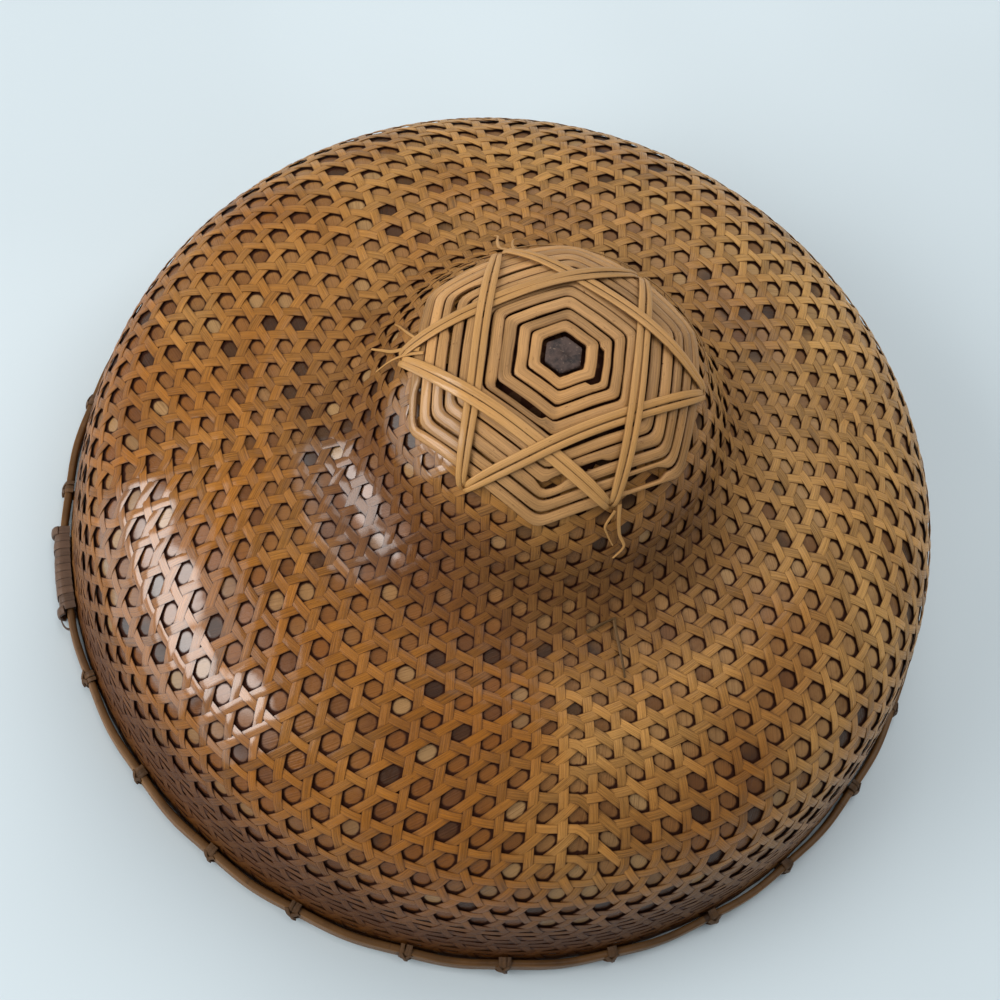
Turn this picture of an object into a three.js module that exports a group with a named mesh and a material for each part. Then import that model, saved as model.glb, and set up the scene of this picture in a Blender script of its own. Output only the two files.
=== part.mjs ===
// A deep-brimmed hat woven from split bamboo, resting on its rim.
// Millimetres, +Z up. The origin is the middle of the rim, on the surface the hat rests on.
import * as THREE from 'three';

// Outline of the weave's outer surface, from the crown's top to the rim
const OUTLINE_STATIONS = [
  { place: 'crown top', radius: 0, height: 192.2 },
  { place: 'crown top', radius: 10, height: 191.8 },
  { place: 'cap', radius: 27, height: 188.7 },
  { place: 'cap', radius: 44, height: 181.5 },
  { place: 'cap edge', radius: 58.5, height: 168.8 },
  { place: 'crown side', radius: 68.5, height: 153.5 },
  { place: 'crown side', radius: 76.5, height: 138.5 },
  { place: 'crown foot', radius: 88.5, height: 127.5 },
  { place: 'flare', radius: 106, height: 122.5 },
  { place: 'brim', radius: 129, height: 117.2 },
  { place: 'brim', radius: 152, height: 107 },
  { place: 'brim', radius: 172, height: 93 },
  { place: 'shoulder', radius: 185, height: 75 },
  { place: 'wall', radius: 191, height: 54 },
  { place: 'wall', radius: 194.2, height: 32 },
  { place: 'rim', radius: 197.4, height: 2 },
];
const WEAVE_THICKNESS = 1.6;
const LEAF_THICKNESS = 0.7;
const GAP = 0.3;
const WALL_ROWS = 17;
const LEAF_ROWS = WALL_ROWS - 1;
const WALL_SEGMENTS = 48;

// Hexagonal turns of wide splint on the crown, measured over the crown's surface. Their middle
// lies a little in front of the crown's own
const CAP_MIDDLE = new THREE.Vector2(-2.5, -3.2);
const CAP_LIFT = 0.9;
const SPLINT_THICKNESS = 1.9;
const SPLINT_WIDTH = 4.7;
const RING_COUNT = 10;
const RING_PITCH = 5.2;
const FIRST_RING_APOTHEM = 10.6;
const RING_CORNER = THREE.MathUtils.degToRad(43);
const HEXAGON_TURN = Math.PI / 3;
const SMALL_RINGS = 3;
const SMALL_RING_SEGMENTS = 12;
const RING_SEGMENTS = 24;

// The stub in the middle of the crown
const PLUG_CORNER_RADIUS = 8.8;
const PLUG_HEIGHT = 2.7;

// Doubled splints over the rings, woven as a six-pointed star
const STAR_RADIUS = 64;
const STAR_POINT = THREE.MathUtils.degToRad(13);
const STRAP_COUNT = 6;
const STRAP_WIDTH = 7.2;
const STRAP_THICKNESS = 1.1;
const STRAP_SEGMENTS = 16;
const STRAP_CLEARANCE = 0.6;
const STRAP_WEAVE = 0.9;
const STRAP_END_GAP = 0.5;
const STRAP_DROP_START = 65;
const STRAP_DROP_END = 72;

// Split-bamboo hoops on both sides of the weave's edge
const RIM_RADIUS = 201;
const HOOP_THICKNESS = 3;
const HOOP_HEIGHT = 8.8;
const HOOP_FOOT = 1.2;
const HOOP_BOW = 0.7;
const INNER_HOOP_RADIUS = 194.3;
const INNER_HOOP_THICKNESS = 2.6;
const INNER_HOOP_HEIGHT = 7.8;

// Bindings round both hoops
const BAY_COUNT = 27;
const FIRST_LASHING = THREE.MathUtils.degToRad(-2.8);
const LASHING_UNEVENNESS = THREE.MathUtils.degToRad(0.7);
const LASHING_WIDTH = 5;
const LASHING_THICKNESS = 0.9;
const LIP_GAP = 0.5;

// Coil binding over the joint of the outer hoop, in the place of one lashing
const WRAP_BAY = 11;
const WRAP_AZIMUTH = THREE.MathUtils.degToRad(-151.5);
const WRAP_LENGTH = 40;
const WRAP_THICKNESS = 2.9;
const WRAP_RIBS = 11;
const WRAP_RIB_DEPTH = 0.7;

const MATERIALS = {
  weave: new THREE.MeshStandardMaterial({ color: 0x9c6a35, roughness: 0.4, metalness: 0 }),
  leaf: new THREE.MeshStandardMaterial({ color: 0x8f6a40, roughness: 0.7, metalness: 0 }),
  cap_splint: new THREE.MeshStandardMaterial({ color: 0xb8925f, roughness: 0.55, metalness: 0 }),
  star_splint: new THREE.MeshStandardMaterial({ color: 0xbe9a66, roughness: 0.55, metalness: 0 }),
  plug: new THREE.MeshStandardMaterial({ color: 0x463a33, roughness: 0.85, metalness: 0 }),
  hoop: new THREE.MeshStandardMaterial({ color: 0x5f452b, roughness: 0.45, metalness: 0 }),
  lashing: new THREE.MeshStandardMaterial({ color: 0x6e543a, roughness: 0.6, metalness: 0 }),
  joint_wrap: new THREE.MeshStandardMaterial({ color: 0x5a4536, roughness: 0.6, metalness: 0 }),
};

const outline = new THREE.SplineCurve(
  OUTLINE_STATIONS.map((station) => new THREE.Vector2(station.radius, station.height)),
);
outline.arcLengthDivisions = 800;
const outlineLength = outline.getLength();
const rimEdge = OUTLINE_STATIONS[OUTLINE_STATIONS.length - 1].radius;
const ringTop = CAP_LIFT + SPLINT_THICKNESS;

// A point of the outline: arc is the distance from the crown's top, lift the height above the weave
function profilePoint(arc, lift) {
  const share = Math.min(arc / outlineLength, 1);
  const point = outline.getPointAt(share);
  const tangent = outline.getTangentAt(share);
  return new THREE.Vector2(
    arc === 0 ? 0 : point.x - tangent.y * lift,
    point.y + tangent.x * lift,
  );
}

// Lays a flat geometry on the crown with its middle at the cap's: distances from the crown's top
// become lengths over the surface, and z becomes the height above it
function drape(geometry) {
  const position = geometry.attributes.position;
  for (let i = 0; i < position.count; i += 1) {
    const x = position.getX(i) + CAP_MIDDLE.x;
    const y = position.getY(i) + CAP_MIDDLE.y;
    const place = profilePoint(Math.hypot(x, y), position.getZ(i));
    const azimuth = Math.atan2(y, x);
    position.setXYZ(i, place.x * Math.cos(azimuth), place.x * Math.sin(azimuth), place.y);
  }
  return geometry;
}

// Bends a geometry round the rim: x is the radius, y the height and z the way along the rim
function bendRoundRim(geometry, azimuth) {
  const position = geometry.attributes.position;
  for (let i = 0; i < position.count; i += 1) {
    const radius = position.getX(i);
    const angle = azimuth - position.getZ(i) / RIM_RADIUS;
    position.setXYZ(i, radius * Math.cos(angle), radius * Math.sin(angle), position.getY(i));
  }
  return geometry;
}

// A wall that follows the outline down from the crown's top for a number of rows
function hatWall(topLift, thickness, rows) {
  const rowLength = outlineLength / WALL_ROWS;
  const profile = [];
  for (let row = 0; row <= rows; row += 1) {
    profile.push(profilePoint(row * rowLength, topLift - thickness));
  }
  for (let row = rows; row >= 0; row -= 1) {
    profile.push(profilePoint(row * rowLength, topLift));
  }
  return new THREE.LatheGeometry(profile, WALL_SEGMENTS).rotateX(Math.PI / 2);
}

// One hexagonal turn of splint, flat, then laid on the crown
function capRing(apothem, segments) {
  const outer = apothem + SPLINT_WIDTH / 2;
  const inner = apothem - SPLINT_WIDTH / 2;
  const section = [
    new THREE.Vector2(outer, CAP_LIFT),
    new THREE.Vector2(outer, ringTop),
    new THREE.Vector2(inner, ringTop),
    new THREE.Vector2(inner, CAP_LIFT),
    new THREE.Vector2(outer, CAP_LIFT),
  ];
  const geometry = new THREE.LatheGeometry(section, segments);
  geometry.rotateX(Math.PI / 2).rotateZ(RING_CORNER + Math.PI / 2);
  const position = geometry.attributes.position;
  for (let i = 0; i < position.count; i += 1) {
    const x = position.getX(i);
    const y = position.getY(i);
    const fromCorner = THREE.MathUtils.euclideanModulo(Math.atan2(y, x) - RING_CORNER, HEXAGON_TURN);
    const stretch = 1 / Math.cos(fromCorner - HEXAGON_TURN / 2);
    position.setXY(i, x * stretch, y * stretch);
  }
  return drape(geometry);
}

// One doubled splint of the star: its ends are mitred, and it passes over the next strap and
// under the one before it
function starStrap(index) {
  const halfLength = STAR_RADIUS * Math.sin(HEXAGON_TURN);
  const midDistance = STAR_RADIUS * Math.cos(HEXAGON_TURN);
  const midAzimuth = STAR_POINT + (index + 1) * HEXAGON_TURN;
  const geometry = new THREE.BoxGeometry(2, STRAP_WIDTH, STRAP_THICKNESS, STRAP_SEGMENTS, 2, 1);
  const position = geometry.attributes.position;
  for (let i = 0; i < position.count; i += 1) {
    const along = position.getX(i);
    const across = position.getY(i);
    const reach = halfLength + across / Math.tan(HEXAGON_TURN / 2) - STRAP_END_GAP;
    const x = midDistance + across;
    const y = -along * reach;
    const drop = THREE.MathUtils.smoothstep(Math.hypot(x, y), STRAP_DROP_START, STRAP_DROP_END);
    const wave = STRAP_WEAVE * Math.sin(1.5 * Math.PI * along) * (1 - along ** 4);
    const rise = ringTop + STRAP_CLEARANCE + STRAP_WEAVE - CAP_LIFT;
    const middle = CAP_LIFT + STRAP_THICKNESS / 2 + (1 - drop) * (rise + wave);
    position.setXYZ(i, x, y, middle + position.getZ(i));
  }
  return drape(geometry.rotateZ(midAzimuth));
}

// A hoop round the rim, which may bow outwards between the lashings
function rimHoop(outerRadius, thickness, height, bow) {
  const points = (radius) => Array.from({ length: 2 * BAY_COUNT }, (_, i) => {
    const angle = FIRST_LASHING + (i * Math.PI) / BAY_COUNT;
    const bowed = radius + (i % 2) * bow;
    return new THREE.Vector2(bowed * Math.cos(angle), bowed * Math.sin(angle));
  });
  const shape = new THREE.Shape(points(outerRadius));
  shape.holes.push(new THREE.Path(points(outerRadius - thickness)));
  const options = { depth: height, steps: 1, bevelEnabled: false };
  return new THREE.ExtrudeGeometry(shape, options).translate(0, 0, HOOP_FOOT);
}

// The section of a binding: a clip round both hoops, open where the weave goes up between them
function bindingSection(outerArm, hoopOutside) {
  const hoopTop = HOOP_FOOT + HOOP_HEIGHT + GAP;
  const innerTop = HOOP_FOOT + INNER_HOOP_HEIGHT + GAP;
  const flatness = Math.cos(Math.PI / (2 * BAY_COUNT));
  const innerInside = (INNER_HOOP_RADIUS - INNER_HOOP_THICKNESS) * flatness - GAP;
  const corners = [
    [hoopOutside + outerArm, 0],
    [hoopOutside + outerArm, hoopTop + LASHING_THICKNESS],
    [rimEdge + LIP_GAP, hoopTop + LASHING_THICKNESS],
    [rimEdge + LIP_GAP, hoopTop],
    [hoopOutside, hoopTop],
    [hoopOutside, LASHING_THICKNESS],
    [innerInside, LASHING_THICKNESS],
    [innerInside, innerTop],
    [INNER_HOOP_RADIUS - LIP_GAP, innerTop],
    [INNER_HOOP_RADIUS - LIP_GAP, innerTop + LASHING_THICKNESS],
    [innerInside - LASHING_THICKNESS, innerTop + LASHING_THICKNESS],
    [innerInside - LASHING_THICKNESS, 0],
  ];
  return new THREE.Shape(corners.map(([x, y]) => new THREE.Vector2(x, y)));
}

function rimLashing(azimuth) {
  const options = { depth: LASHING_WIDTH, steps: 1, bevelEnabled: false };
  const section = bindingSection(LASHING_THICKNESS, RIM_RADIUS + GAP);
  const geometry = new THREE.ExtrudeGeometry(section, options);
  return bendRoundRim(geometry.translate(0, 0, -LASHING_WIDTH / 2), azimuth);
}

// The coil over the hoop's joint, with a rib for each turn
function jointWrap() {
  const options = { depth: WRAP_LENGTH, steps: 2 * WRAP_RIBS, bevelEnabled: false };
  const hoopOutside = RIM_RADIUS + HOOP_BOW + GAP;
  const geometry = new THREE.ExtrudeGeometry(bindingSection(WRAP_THICKNESS, hoopOutside), options);
  const position = geometry.attributes.position;
  const outside = hoopOutside + WRAP_THICKNESS / 2;
  for (let i = 0; i < position.count; i += 1) {
    if (position.getX(i) > outside) {
      const turn = (position.getZ(i) / WRAP_LENGTH) * WRAP_RIBS;
      const valley = WRAP_RIB_DEPTH * Math.cos(Math.PI * turn) ** 2;
      position.setX(i, position.getX(i) - valley);
    }
  }
  return bendRoundRim(geometry.translate(0, 0, -WRAP_LENGTH / 2), WRAP_AZIMUTH);
}

function piece(name, geometry, material) {
  const mesh = new THREE.Mesh(geometry, material.clone());
  mesh.name = name;
  return mesh;
}

function numbered(stem, number) {
  return `${stem}_${String(number).padStart(2, '0')}`;
}

// The crown's hexagonal cap: plug, rings and star
function buildCap() {
  const cap = new THREE.Group();
  const plug = new THREE.CylinderGeometry(PLUG_CORNER_RADIUS, PLUG_CORNER_RADIUS, PLUG_HEIGHT, 6);
  plug.rotateX(Math.PI / 2).rotateZ(RING_CORNER + Math.PI / 2);
  const plugMiddle = OUTLINE_STATIONS[0].height + CAP_LIFT + PLUG_HEIGHT / 2;
  plug.translate(CAP_MIDDLE.x, CAP_MIDDLE.y, plugMiddle);
  cap.add(piece('cap_plug', plug, MATERIALS.plug));
  for (let i = 0; i < RING_COUNT; i += 1) {
    const segments = i < SMALL_RINGS ? SMALL_RING_SEGMENTS : RING_SEGMENTS;
    const geometry = capRing(FIRST_RING_APOTHEM + i * RING_PITCH, segments);
    cap.add(piece(numbered('cap_ring', i + 1), geometry, MATERIALS.cap_splint));
  }
  for (let i = 0; i < STRAP_COUNT; i += 1) {
    cap.add(piece(`star_strap_${i + 1}`, starStrap(i), MATERIALS.star_splint));
  }
  return cap;
}

// The weave with the leaves under it
function buildBody() {
  const body = new THREE.Group();
  const leafTop = -(WEAVE_THICKNESS + GAP);
  body.add(piece('woven_shell', hatWall(0, WEAVE_THICKNESS, WALL_ROWS), MATERIALS.weave));
  body.add(piece('leaf_layer', hatWall(leafTop, LEAF_THICKNESS, LEAF_ROWS), MATERIALS.leaf));
  return body;
}

// The bound rim: two hoops, their lashings and the wrap over the joint
function buildRim() {
  const rim = new THREE.Group();
  const outer = rimHoop(RIM_RADIUS, HOOP_THICKNESS, HOOP_HEIGHT, HOOP_BOW);
  const inner = rimHoop(INNER_HOOP_RADIUS, INNER_HOOP_THICKNESS, INNER_HOOP_HEIGHT, 0);
  rim.add(piece('rim_hoop_outer', outer, MATERIALS.hoop));
  rim.add(piece('rim_hoop_inner', inner, MATERIALS.hoop));
  let count = 0;
  for (let bay = 0; bay < BAY_COUNT; bay += 1) {
    if (bay !== WRAP_BAY) {
      count += 1;
      const even = FIRST_LASHING - (bay * 2 * Math.PI) / BAY_COUNT;
      const azimuth = even + LASHING_UNEVENNESS * Math.sin(2.4 * bay);
      rim.add(piece(numbered('rim_lashing', count), rimLashing(azimuth), MATERIALS.lashing));
    }
  }
  rim.add(piece('hoop_joint_wrap', jointWrap(), MATERIALS.joint_wrap));
  return rim;
}

const group = new THREE.Group();
group.add(buildBody(), buildCap(), buildRim());

export default group;
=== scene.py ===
"""A deep-brimmed hat woven from split bamboo, resting on its rim on a plain pale floor.

Lengths are millimetres until a mesh is made. Arc is the distance over the hat from the crown's
top, azimuth the angle round the upright axis, and lift the height above the weave's outer face.
"""
import logging
import math
from dataclasses import dataclass, field
from enum import Enum

import bmesh
import bpy
import numpy as np
from mathutils import Matrix


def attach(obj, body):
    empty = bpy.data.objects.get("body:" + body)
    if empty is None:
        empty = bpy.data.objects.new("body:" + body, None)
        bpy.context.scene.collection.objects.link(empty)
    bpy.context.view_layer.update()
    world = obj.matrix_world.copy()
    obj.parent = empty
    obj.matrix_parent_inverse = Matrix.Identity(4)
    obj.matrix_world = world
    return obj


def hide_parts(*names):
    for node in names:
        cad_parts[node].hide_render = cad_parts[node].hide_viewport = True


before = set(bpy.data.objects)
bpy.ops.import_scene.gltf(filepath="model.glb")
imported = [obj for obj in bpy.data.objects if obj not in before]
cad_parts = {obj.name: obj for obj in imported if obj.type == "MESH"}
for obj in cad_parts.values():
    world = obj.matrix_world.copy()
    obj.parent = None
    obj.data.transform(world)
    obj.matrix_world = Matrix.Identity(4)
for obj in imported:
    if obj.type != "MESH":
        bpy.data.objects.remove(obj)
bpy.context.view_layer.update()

LOG = logging.getLogger("woven_hat")
Array = np.ndarray
MM = 0.001
SIXTH = math.pi / 3
QUARTER = math.pi / 2
STRIP_MAP = "strip"
TONE_MAP = "strip_tone"
BODY = "root"
WELD_DISTANCE = 1e-6
FLIPPED = [0, 3, 2, 1]
COAT_IOR = 1.9
SPECULAR_LEVEL = 0.16
LATTICE_PITCH = 13.0
LATTICE_ROW = LATTICE_PITCH * math.sqrt(3) / 2
CAP_MIDDLE = (-2.5, -3.2)
STAR_MIDDLE = (-3.8, -3.65)


def linear(red: float, green: float, blue: float) -> tuple[float, float, float, float]:
    """Turns a screen colour into a linear one.

    Args:
        red: screen red, from 0 to 1.
        green: screen green, from 0 to 1.
        blue: screen blue, from 0 to 1.

    Returns:
        The linear colour with full alpha.
    """
    channels = [c / 12.92 if c <= 0.04045 else ((c + 0.055) / 1.055) ** 2.4 for c in (red, green, blue)]
    return (*channels, 1.0)


def smoothstep(low: float, high: float, value: Array) -> Array:
    """Rises smoothly from 0 at low to 1 at high.

    Args:
        low: where the rise starts.
        high: where it ends.
        value: the places asked about.

    Returns:
        The share at each place, by 3s squared less 2s cubed.
    """
    share = np.clip((value - low) / (high - low), 0.0, 1.0)
    return share * share * (3.0 - 2.0 * share)


def unit(vectors: Array) -> Array:
    """Scales each row to length 1."""
    return vectors / np.linalg.norm(vectors, axis=-1, keepdims=True)


def polar(radius: Array | float, azimuth: Array | float, height: Array | float) -> Array:
    """Turns radius, azimuth and height into places or directions, with a last axis of 3."""
    return np.stack(np.broadcast_arrays(radius * np.cos(azimuth), radius * np.sin(azimuth), height), axis=-1)


def frame_across(centres: Array, across: Array) -> tuple[Array, Array]:
    """Turns a path's strip so that its side lies nearest to a wanted direction.

    Args:
        centres: the path, shape (n, 3).
        across: the wanted side direction, for the path or for each point.

    Returns:
        The side and up directions at each point.
    """
    forward = unit(np.gradient(centres, axis=0))
    ups = unit(np.cross(forward, across))
    return unit(np.cross(ups, forward)), ups


def frame_facing(centres: Array, outward: Array) -> tuple[Array, Array]:
    """Turns a path's strip so that its face looks nearest to a wanted direction.

    Args:
        centres: the path, shape (n, 3).
        outward: the wanted up direction, for the path or for each point.

    Returns:
        The side and up directions at each point.
    """
    forward = unit(np.gradient(centres, axis=0))
    sides = unit(np.cross(outward, forward))
    return sides, unit(np.cross(forward, sides))


def smooth_through(places: Array, values: Array, asked: Array) -> Array:
    """Reads a smooth curve through a short table.

    Between two rows the value is a cubic with the table's own mean slopes at its ends.

    Args:
        places: rising positions of the rows, shape (n,).
        values: values of the rows, shape (n,) or (n, k).
        asked: positions to read.

    Returns:
        The values there, with one row for each position asked.
    """
    slopes = np.gradient(values, places, axis=0)
    span = np.clip(np.searchsorted(places, asked) - 1, 0, len(places) - 2)
    width = places[span + 1] - places[span]
    share = (asked - places[span]) / width
    if values.ndim > 1:
        width = width[:, None]
        share = share[:, None]
    square = share * share
    cube = square * share
    start = (2 * cube - 3 * square + 1) * values[span] + (cube - 2 * square + share) * width * slopes[span]
    end = (3 * square - 2 * cube) * values[span + 1] + (cube - square) * width * slopes[span + 1]
    return start + end


def distances(points: Array) -> Array:
    """Gives the distance along a path at each of its points."""
    return np.concatenate([[0.0], np.cumsum(np.linalg.norm(np.diff(points, axis=0), axis=1))])


def resample(table: Array, count: int) -> Array:
    """Reads evenly spaced points off the smooth curve through a short table of points."""
    place = distances(table)
    return smooth_through(place, table, np.linspace(0, place[-1], count))


def grid_faces(rows: int, columns: int, loop_rows: bool, loop_columns: bool) -> Array:
    """Joins vertices that are numbered row by row with four-sided faces.

    Args:
        rows: how many rows.
        columns: how many vertices in each.
        loop_rows: whether the last row joins the first.
        loop_columns: whether the end of each row joins its start.

    Returns:
        The faces, shape (n, 4): along the row, on to the next row, and back.
    """
    first = np.arange(rows if loop_rows else rows - 1)[:, None]
    column = np.arange(columns if loop_columns else columns - 1)[None]
    here = first * columns
    after = (first + 1) % rows * columns
    beside = (column + 1) % columns
    return np.stack([here + column, here + beside, after + beside, after + column], axis=-1).reshape(-1, 4)


@dataclass
class Wobble:
    """A gentle unevenness along a length: a few sine waves with seeded phases."""

    seed: int
    longest: float = 160.0
    waves: int = 3

    def at(self, along: Array) -> Array:
        """Adds up the waves, each shorter and weaker than the one before it.

        Args:
            along: distances along the piece.

        Returns:
            Values between about -1 and 1.
        """
        draw = np.random.default_rng(self.seed)
        total = np.zeros_like(along)
        for order in range(1, self.waves + 1):
            length = self.longest / order * draw.uniform(0.8, 1.2)
            phase = draw.uniform(0, 2 * math.pi)
            total = total + np.sin(2 * math.pi * along / length + phase) / order
        return total / 1.6


@dataclass
class HatOutline:
    """The outer face of the weave: a smooth profile turned about the upright axis."""

    stations: tuple[tuple[str, float, float], ...] = (
        # place, radius, height
        ("crown top", 0.0, 192.2),
        ("crown top", 10.0, 191.8),
        ("cap", 27.0, 188.7),
        ("cap", 44.0, 181.5),
        ("cap edge", 58.5, 168.8),
        ("crown side", 68.5, 153.5),
        ("crown side", 76.5, 138.5),
        ("crown foot", 88.5, 127.5),
        ("flare", 106.0, 122.5),
        ("brim", 129.0, 117.2),
        ("brim", 152.0, 107.0),
        ("brim", 172.0, 93.0),
        ("shoulder", 185.0, 75.0),
        ("wall", 191.0, 54.0),
        ("wall", 194.2, 32.0),
        ("rim", 197.4, 2.0),
    )
    steps_per_span: int = 50

    def __post_init__(self) -> None:
        """Works out the profile, its length and its normals.

        Each span between stations is a cubic whose end slopes are half the chord between the
        stations on either side.
        """
        knots = np.array([row[1:] for row in self.stations])
        last = len(knots) - 1
        place = np.linspace(0, last, last * self.steps_per_span + 1)
        index = np.minimum(place.astype(int), last - 1)
        share = (place - index)[:, None]
        before = knots[np.maximum(index - 1, 0)]
        start = knots[index]
        end = knots[index + 1]
        after = knots[np.minimum(index + 2, last)]
        slope_in = (end - before) / 2
        slope_out = (after - start) / 2
        curve = (2 * start - 2 * end + slope_in + slope_out) * share**3
        curve = curve + (3 * end - 3 * start - 2 * slope_in - slope_out) * share**2
        self.points = curve + slope_in * share + start
        self.arcs = distances(self.points)
        self.length = float(self.arcs[-1])
        tangent = unit(np.gradient(self.points, self.arcs, axis=0))
        tangent[0] = (1.0, 0.0)
        self.normals = np.stack([-tangent[:, 1], tangent[:, 0]], axis=1)

    def section(self, arc: Array, lift: Array) -> tuple[Array, Array]:
        """Gives the radius and height of places on or above the profile.

        Args:
            arc: distances from the crown's top.
            lift: heights above the weave's outer face.

        Returns:
            The radii and the heights.
        """
        radius, height, outward, upward = (
            np.interp(arc, self.arcs, column) for column in (*self.points.T, *self.normals.T)
        )
        return radius + lift * outward, height + lift * upward

    def place(self, arc: Array, azimuth: Array, lift: Array) -> Array:
        """Puts places given by arc, azimuth and lift into space.

        Args:
            arc: distances from the crown's top.
            azimuth: angles round the hat.
            lift: heights above the weave's outer face.

        Returns:
            Positions in millimetres, with a last axis of 3.
        """
        radius, height = self.section(arc, lift)
        return polar(radius, azimuth, height)

    def normal(self, arc: Array, azimuth: Array) -> Array:
        """Gives the outward direction of the hat at places on it.

        Args:
            arc: distances from the crown's top.
            azimuth: angles round the hat.

        Returns:
            Unit vectors, with a last axis of 3.
        """
        outward = np.interp(arc, self.arcs, self.normals[:, 0])
        upward = np.interp(arc, self.arcs, self.normals[:, 1])
        return unit(polar(outward, azimuth, upward))

    def drape(self, across: Array, away: Array, lift: Array) -> Array:
        """Lays a flat plan on the crown: distances from its middle become arcs.

        Args:
            across: plan positions along X.
            away: plan positions along Y.
            lift: heights above the weave's outer face.

        Returns:
            Positions in millimetres.
        """
        return self.place(np.hypot(across, away), np.arctan2(away, across), lift)


class Edge(Enum):
    """How the faces of a piece meet in shading."""

    SOFT = math.radians(60)
    CRISP = math.radians(32)


@dataclass
class MeshBuilder:
    """Gathers surfaces as arrays and joins them into one mesh object."""

    name: str
    points: list[Array] = field(default_factory=list)
    quads: list[Array] = field(default_factory=list)
    triangles: list[Array] = field(default_factory=list)
    maps: list[Array] = field(default_factory=list)
    tones: list[Array] = field(default_factory=list)
    count: int = 0

    def add(self, points: Array, quads: Array, triangles: Array, strip_map: Array, tone: Array) -> None:
        """Adds one surface.

        Args:
            points: positions in millimetres, shape (n, 3).
            quads: vertex numbers of four-sided faces.
            triangles: vertex numbers of three-sided faces.
            strip_map: distance along and place across the strip for each vertex, shape (n, 2).
            tone: strand tone, depth in the weave and the grain's seed, shape (n, 3).
        """
        self.points.append(points)
        self.quads.append(np.asarray(quads, dtype=int).reshape(-1, 4) + self.count)
        self.triangles.append(np.asarray(triangles, dtype=int).reshape(-1, 3) + self.count)
        self.maps.append(strip_map)
        self.tones.append(tone)
        self.count += len(points)

    def strip(
        self,
        centres: Array,
        sides: Array,
        ups: Array,
        section: Array,
        tone: Array,
        closed: bool = False,
        start: float = 0.0,
    ) -> None:
        """Carries a section along a path.

        Vertex j at step i is the centre plus section x along the side and section y along the
        up direction. The section runs counter-clockwise seen from the strip's far end.

        Args:
            centres: path points, shape (n, 3).
            sides: unit vectors across the strip, shape (n, 3).
            ups: unit vectors out of its upper face, shape (n, 3).
            section: points of the section, shape (k, 2) or (n, k, 2), with k even.
            tone: values of the tone attribute, shape (3,) or (n, 3).
            closed: whether the last step joins the first.
            start: distance along at the first step, which moves the grain.
        """
        steps = len(centres)
        section = np.broadcast_to(section, (steps, *section.shape[-2:]))
        corners = section.shape[1]
        points = centres[:, None] + section[..., :1] * sides[:, None] + section[..., 1:] * ups[:, None]
        along = np.broadcast_to(start + distances(centres)[:, None], (steps, corners))
        half = np.abs(section[..., 0]).max(axis=1, keepdims=True)
        strip_map = np.stack([along, section[..., 0] / half], axis=-1)
        tones = np.broadcast_to(np.broadcast_to(tone, (steps, 3))[:, None], (steps, corners, 3))
        self.grid(points, strip_map, tones, closed, caps=not closed)

    def grid(self, points: Array, strip_map: Array, tones: Array, closed: bool, caps: bool) -> None:
        """Joins a grid of points into a tube whose sections are rings.

        Args:
            points: positions, shape (steps, corners, 3).
            strip_map: map values, shape (steps, corners, 2).
            tones: tone values, shape (steps, corners, 3).
            closed: whether the last ring joins the first.
            caps: whether the two end rings are filled.
        """
        steps, corners = points.shape[:2]
        quads = grid_faces(steps, corners, closed, True)
        if caps:
            fans = np.array([[0, 2 * i - 1, 2 * i, 2 * i + 1] for i in range(1, corners // 2)])
            quads = np.concatenate([quads, fans[:, ::-1], fans + (steps - 1) * corners])
        flat = points.reshape(-1, 3)
        self.add(flat, quads, np.empty((0, 3)), strip_map.reshape(-1, 2), tones.reshape(-1, 3))

    def build(
        self, material: bpy.types.Material, slot: str, nodes: list[str], edge: Edge, weld: bool = False
    ) -> bpy.types.Object:
        """Makes the mesh object, dresses it and ties it to the frame.

        Args:
            material: the finish of the piece.
            slot: the record's material slot. Not used.
            nodes: the frame's nodes that the piece stands for.
            edge: how sharp an edge has to be to show as one.
            weld: whether vertices at the same place are joined.

        Returns:
            The new object, at the origin.
        """
        points = np.concatenate(self.points) * MM
        quads = np.concatenate(self.quads)
        triangles = np.concatenate(self.triangles)
        corners = np.concatenate([quads.ravel(), triangles.ravel()]).astype(np.int32)
        starts = np.concatenate([np.arange(len(quads)) * 4, quads.size + np.arange(len(triangles)) * 3])
        mesh = bpy.data.meshes.new(self.name)
        mesh.vertices.add(len(points))
        mesh.vertices.foreach_set("co", points.astype(np.float32).ravel())
        mesh.loops.add(len(corners))
        mesh.loops.foreach_set("vertex_index", corners)
        mesh.polygons.add(len(starts))
        mesh.polygons.foreach_set("loop_start", starts.astype(np.int32))
        mesh.update(calc_edges=True)
        strip_map = mesh.uv_layers.new(name=STRIP_MAP)
        mapped = np.concatenate(self.maps)[corners].astype(np.float32)
        strip_map.data.foreach_set("uv", mapped.ravel())
        tones = np.concatenate(self.tones)
        colours = np.concatenate([tones, np.ones((len(tones), 1))], axis=1).astype(np.float32)
        mesh.attributes.new(TONE_MAP, "FLOAT_COLOR", "POINT").data.foreach_set("color", colours.ravel())
        if weld:
            shape = bmesh.new()
            shape.from_mesh(mesh)
            bmesh.ops.remove_doubles(shape, verts=shape.verts, dist=WELD_DISTANCE)
            shape.to_mesh(mesh)
            shape.free()
        mesh.shade_smooth()
        mesh.set_sharp_from_angle(angle=edge.value)
        mesh.materials.append(material)
        made = bpy.data.objects.new(self.name, mesh)
        bpy.context.scene.collection.objects.link(made)
        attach(made, BODY)
        if nodes:
            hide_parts(*nodes)
        LOG.info("%s: %d faces", self.name, len(starts))
        return made


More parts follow.
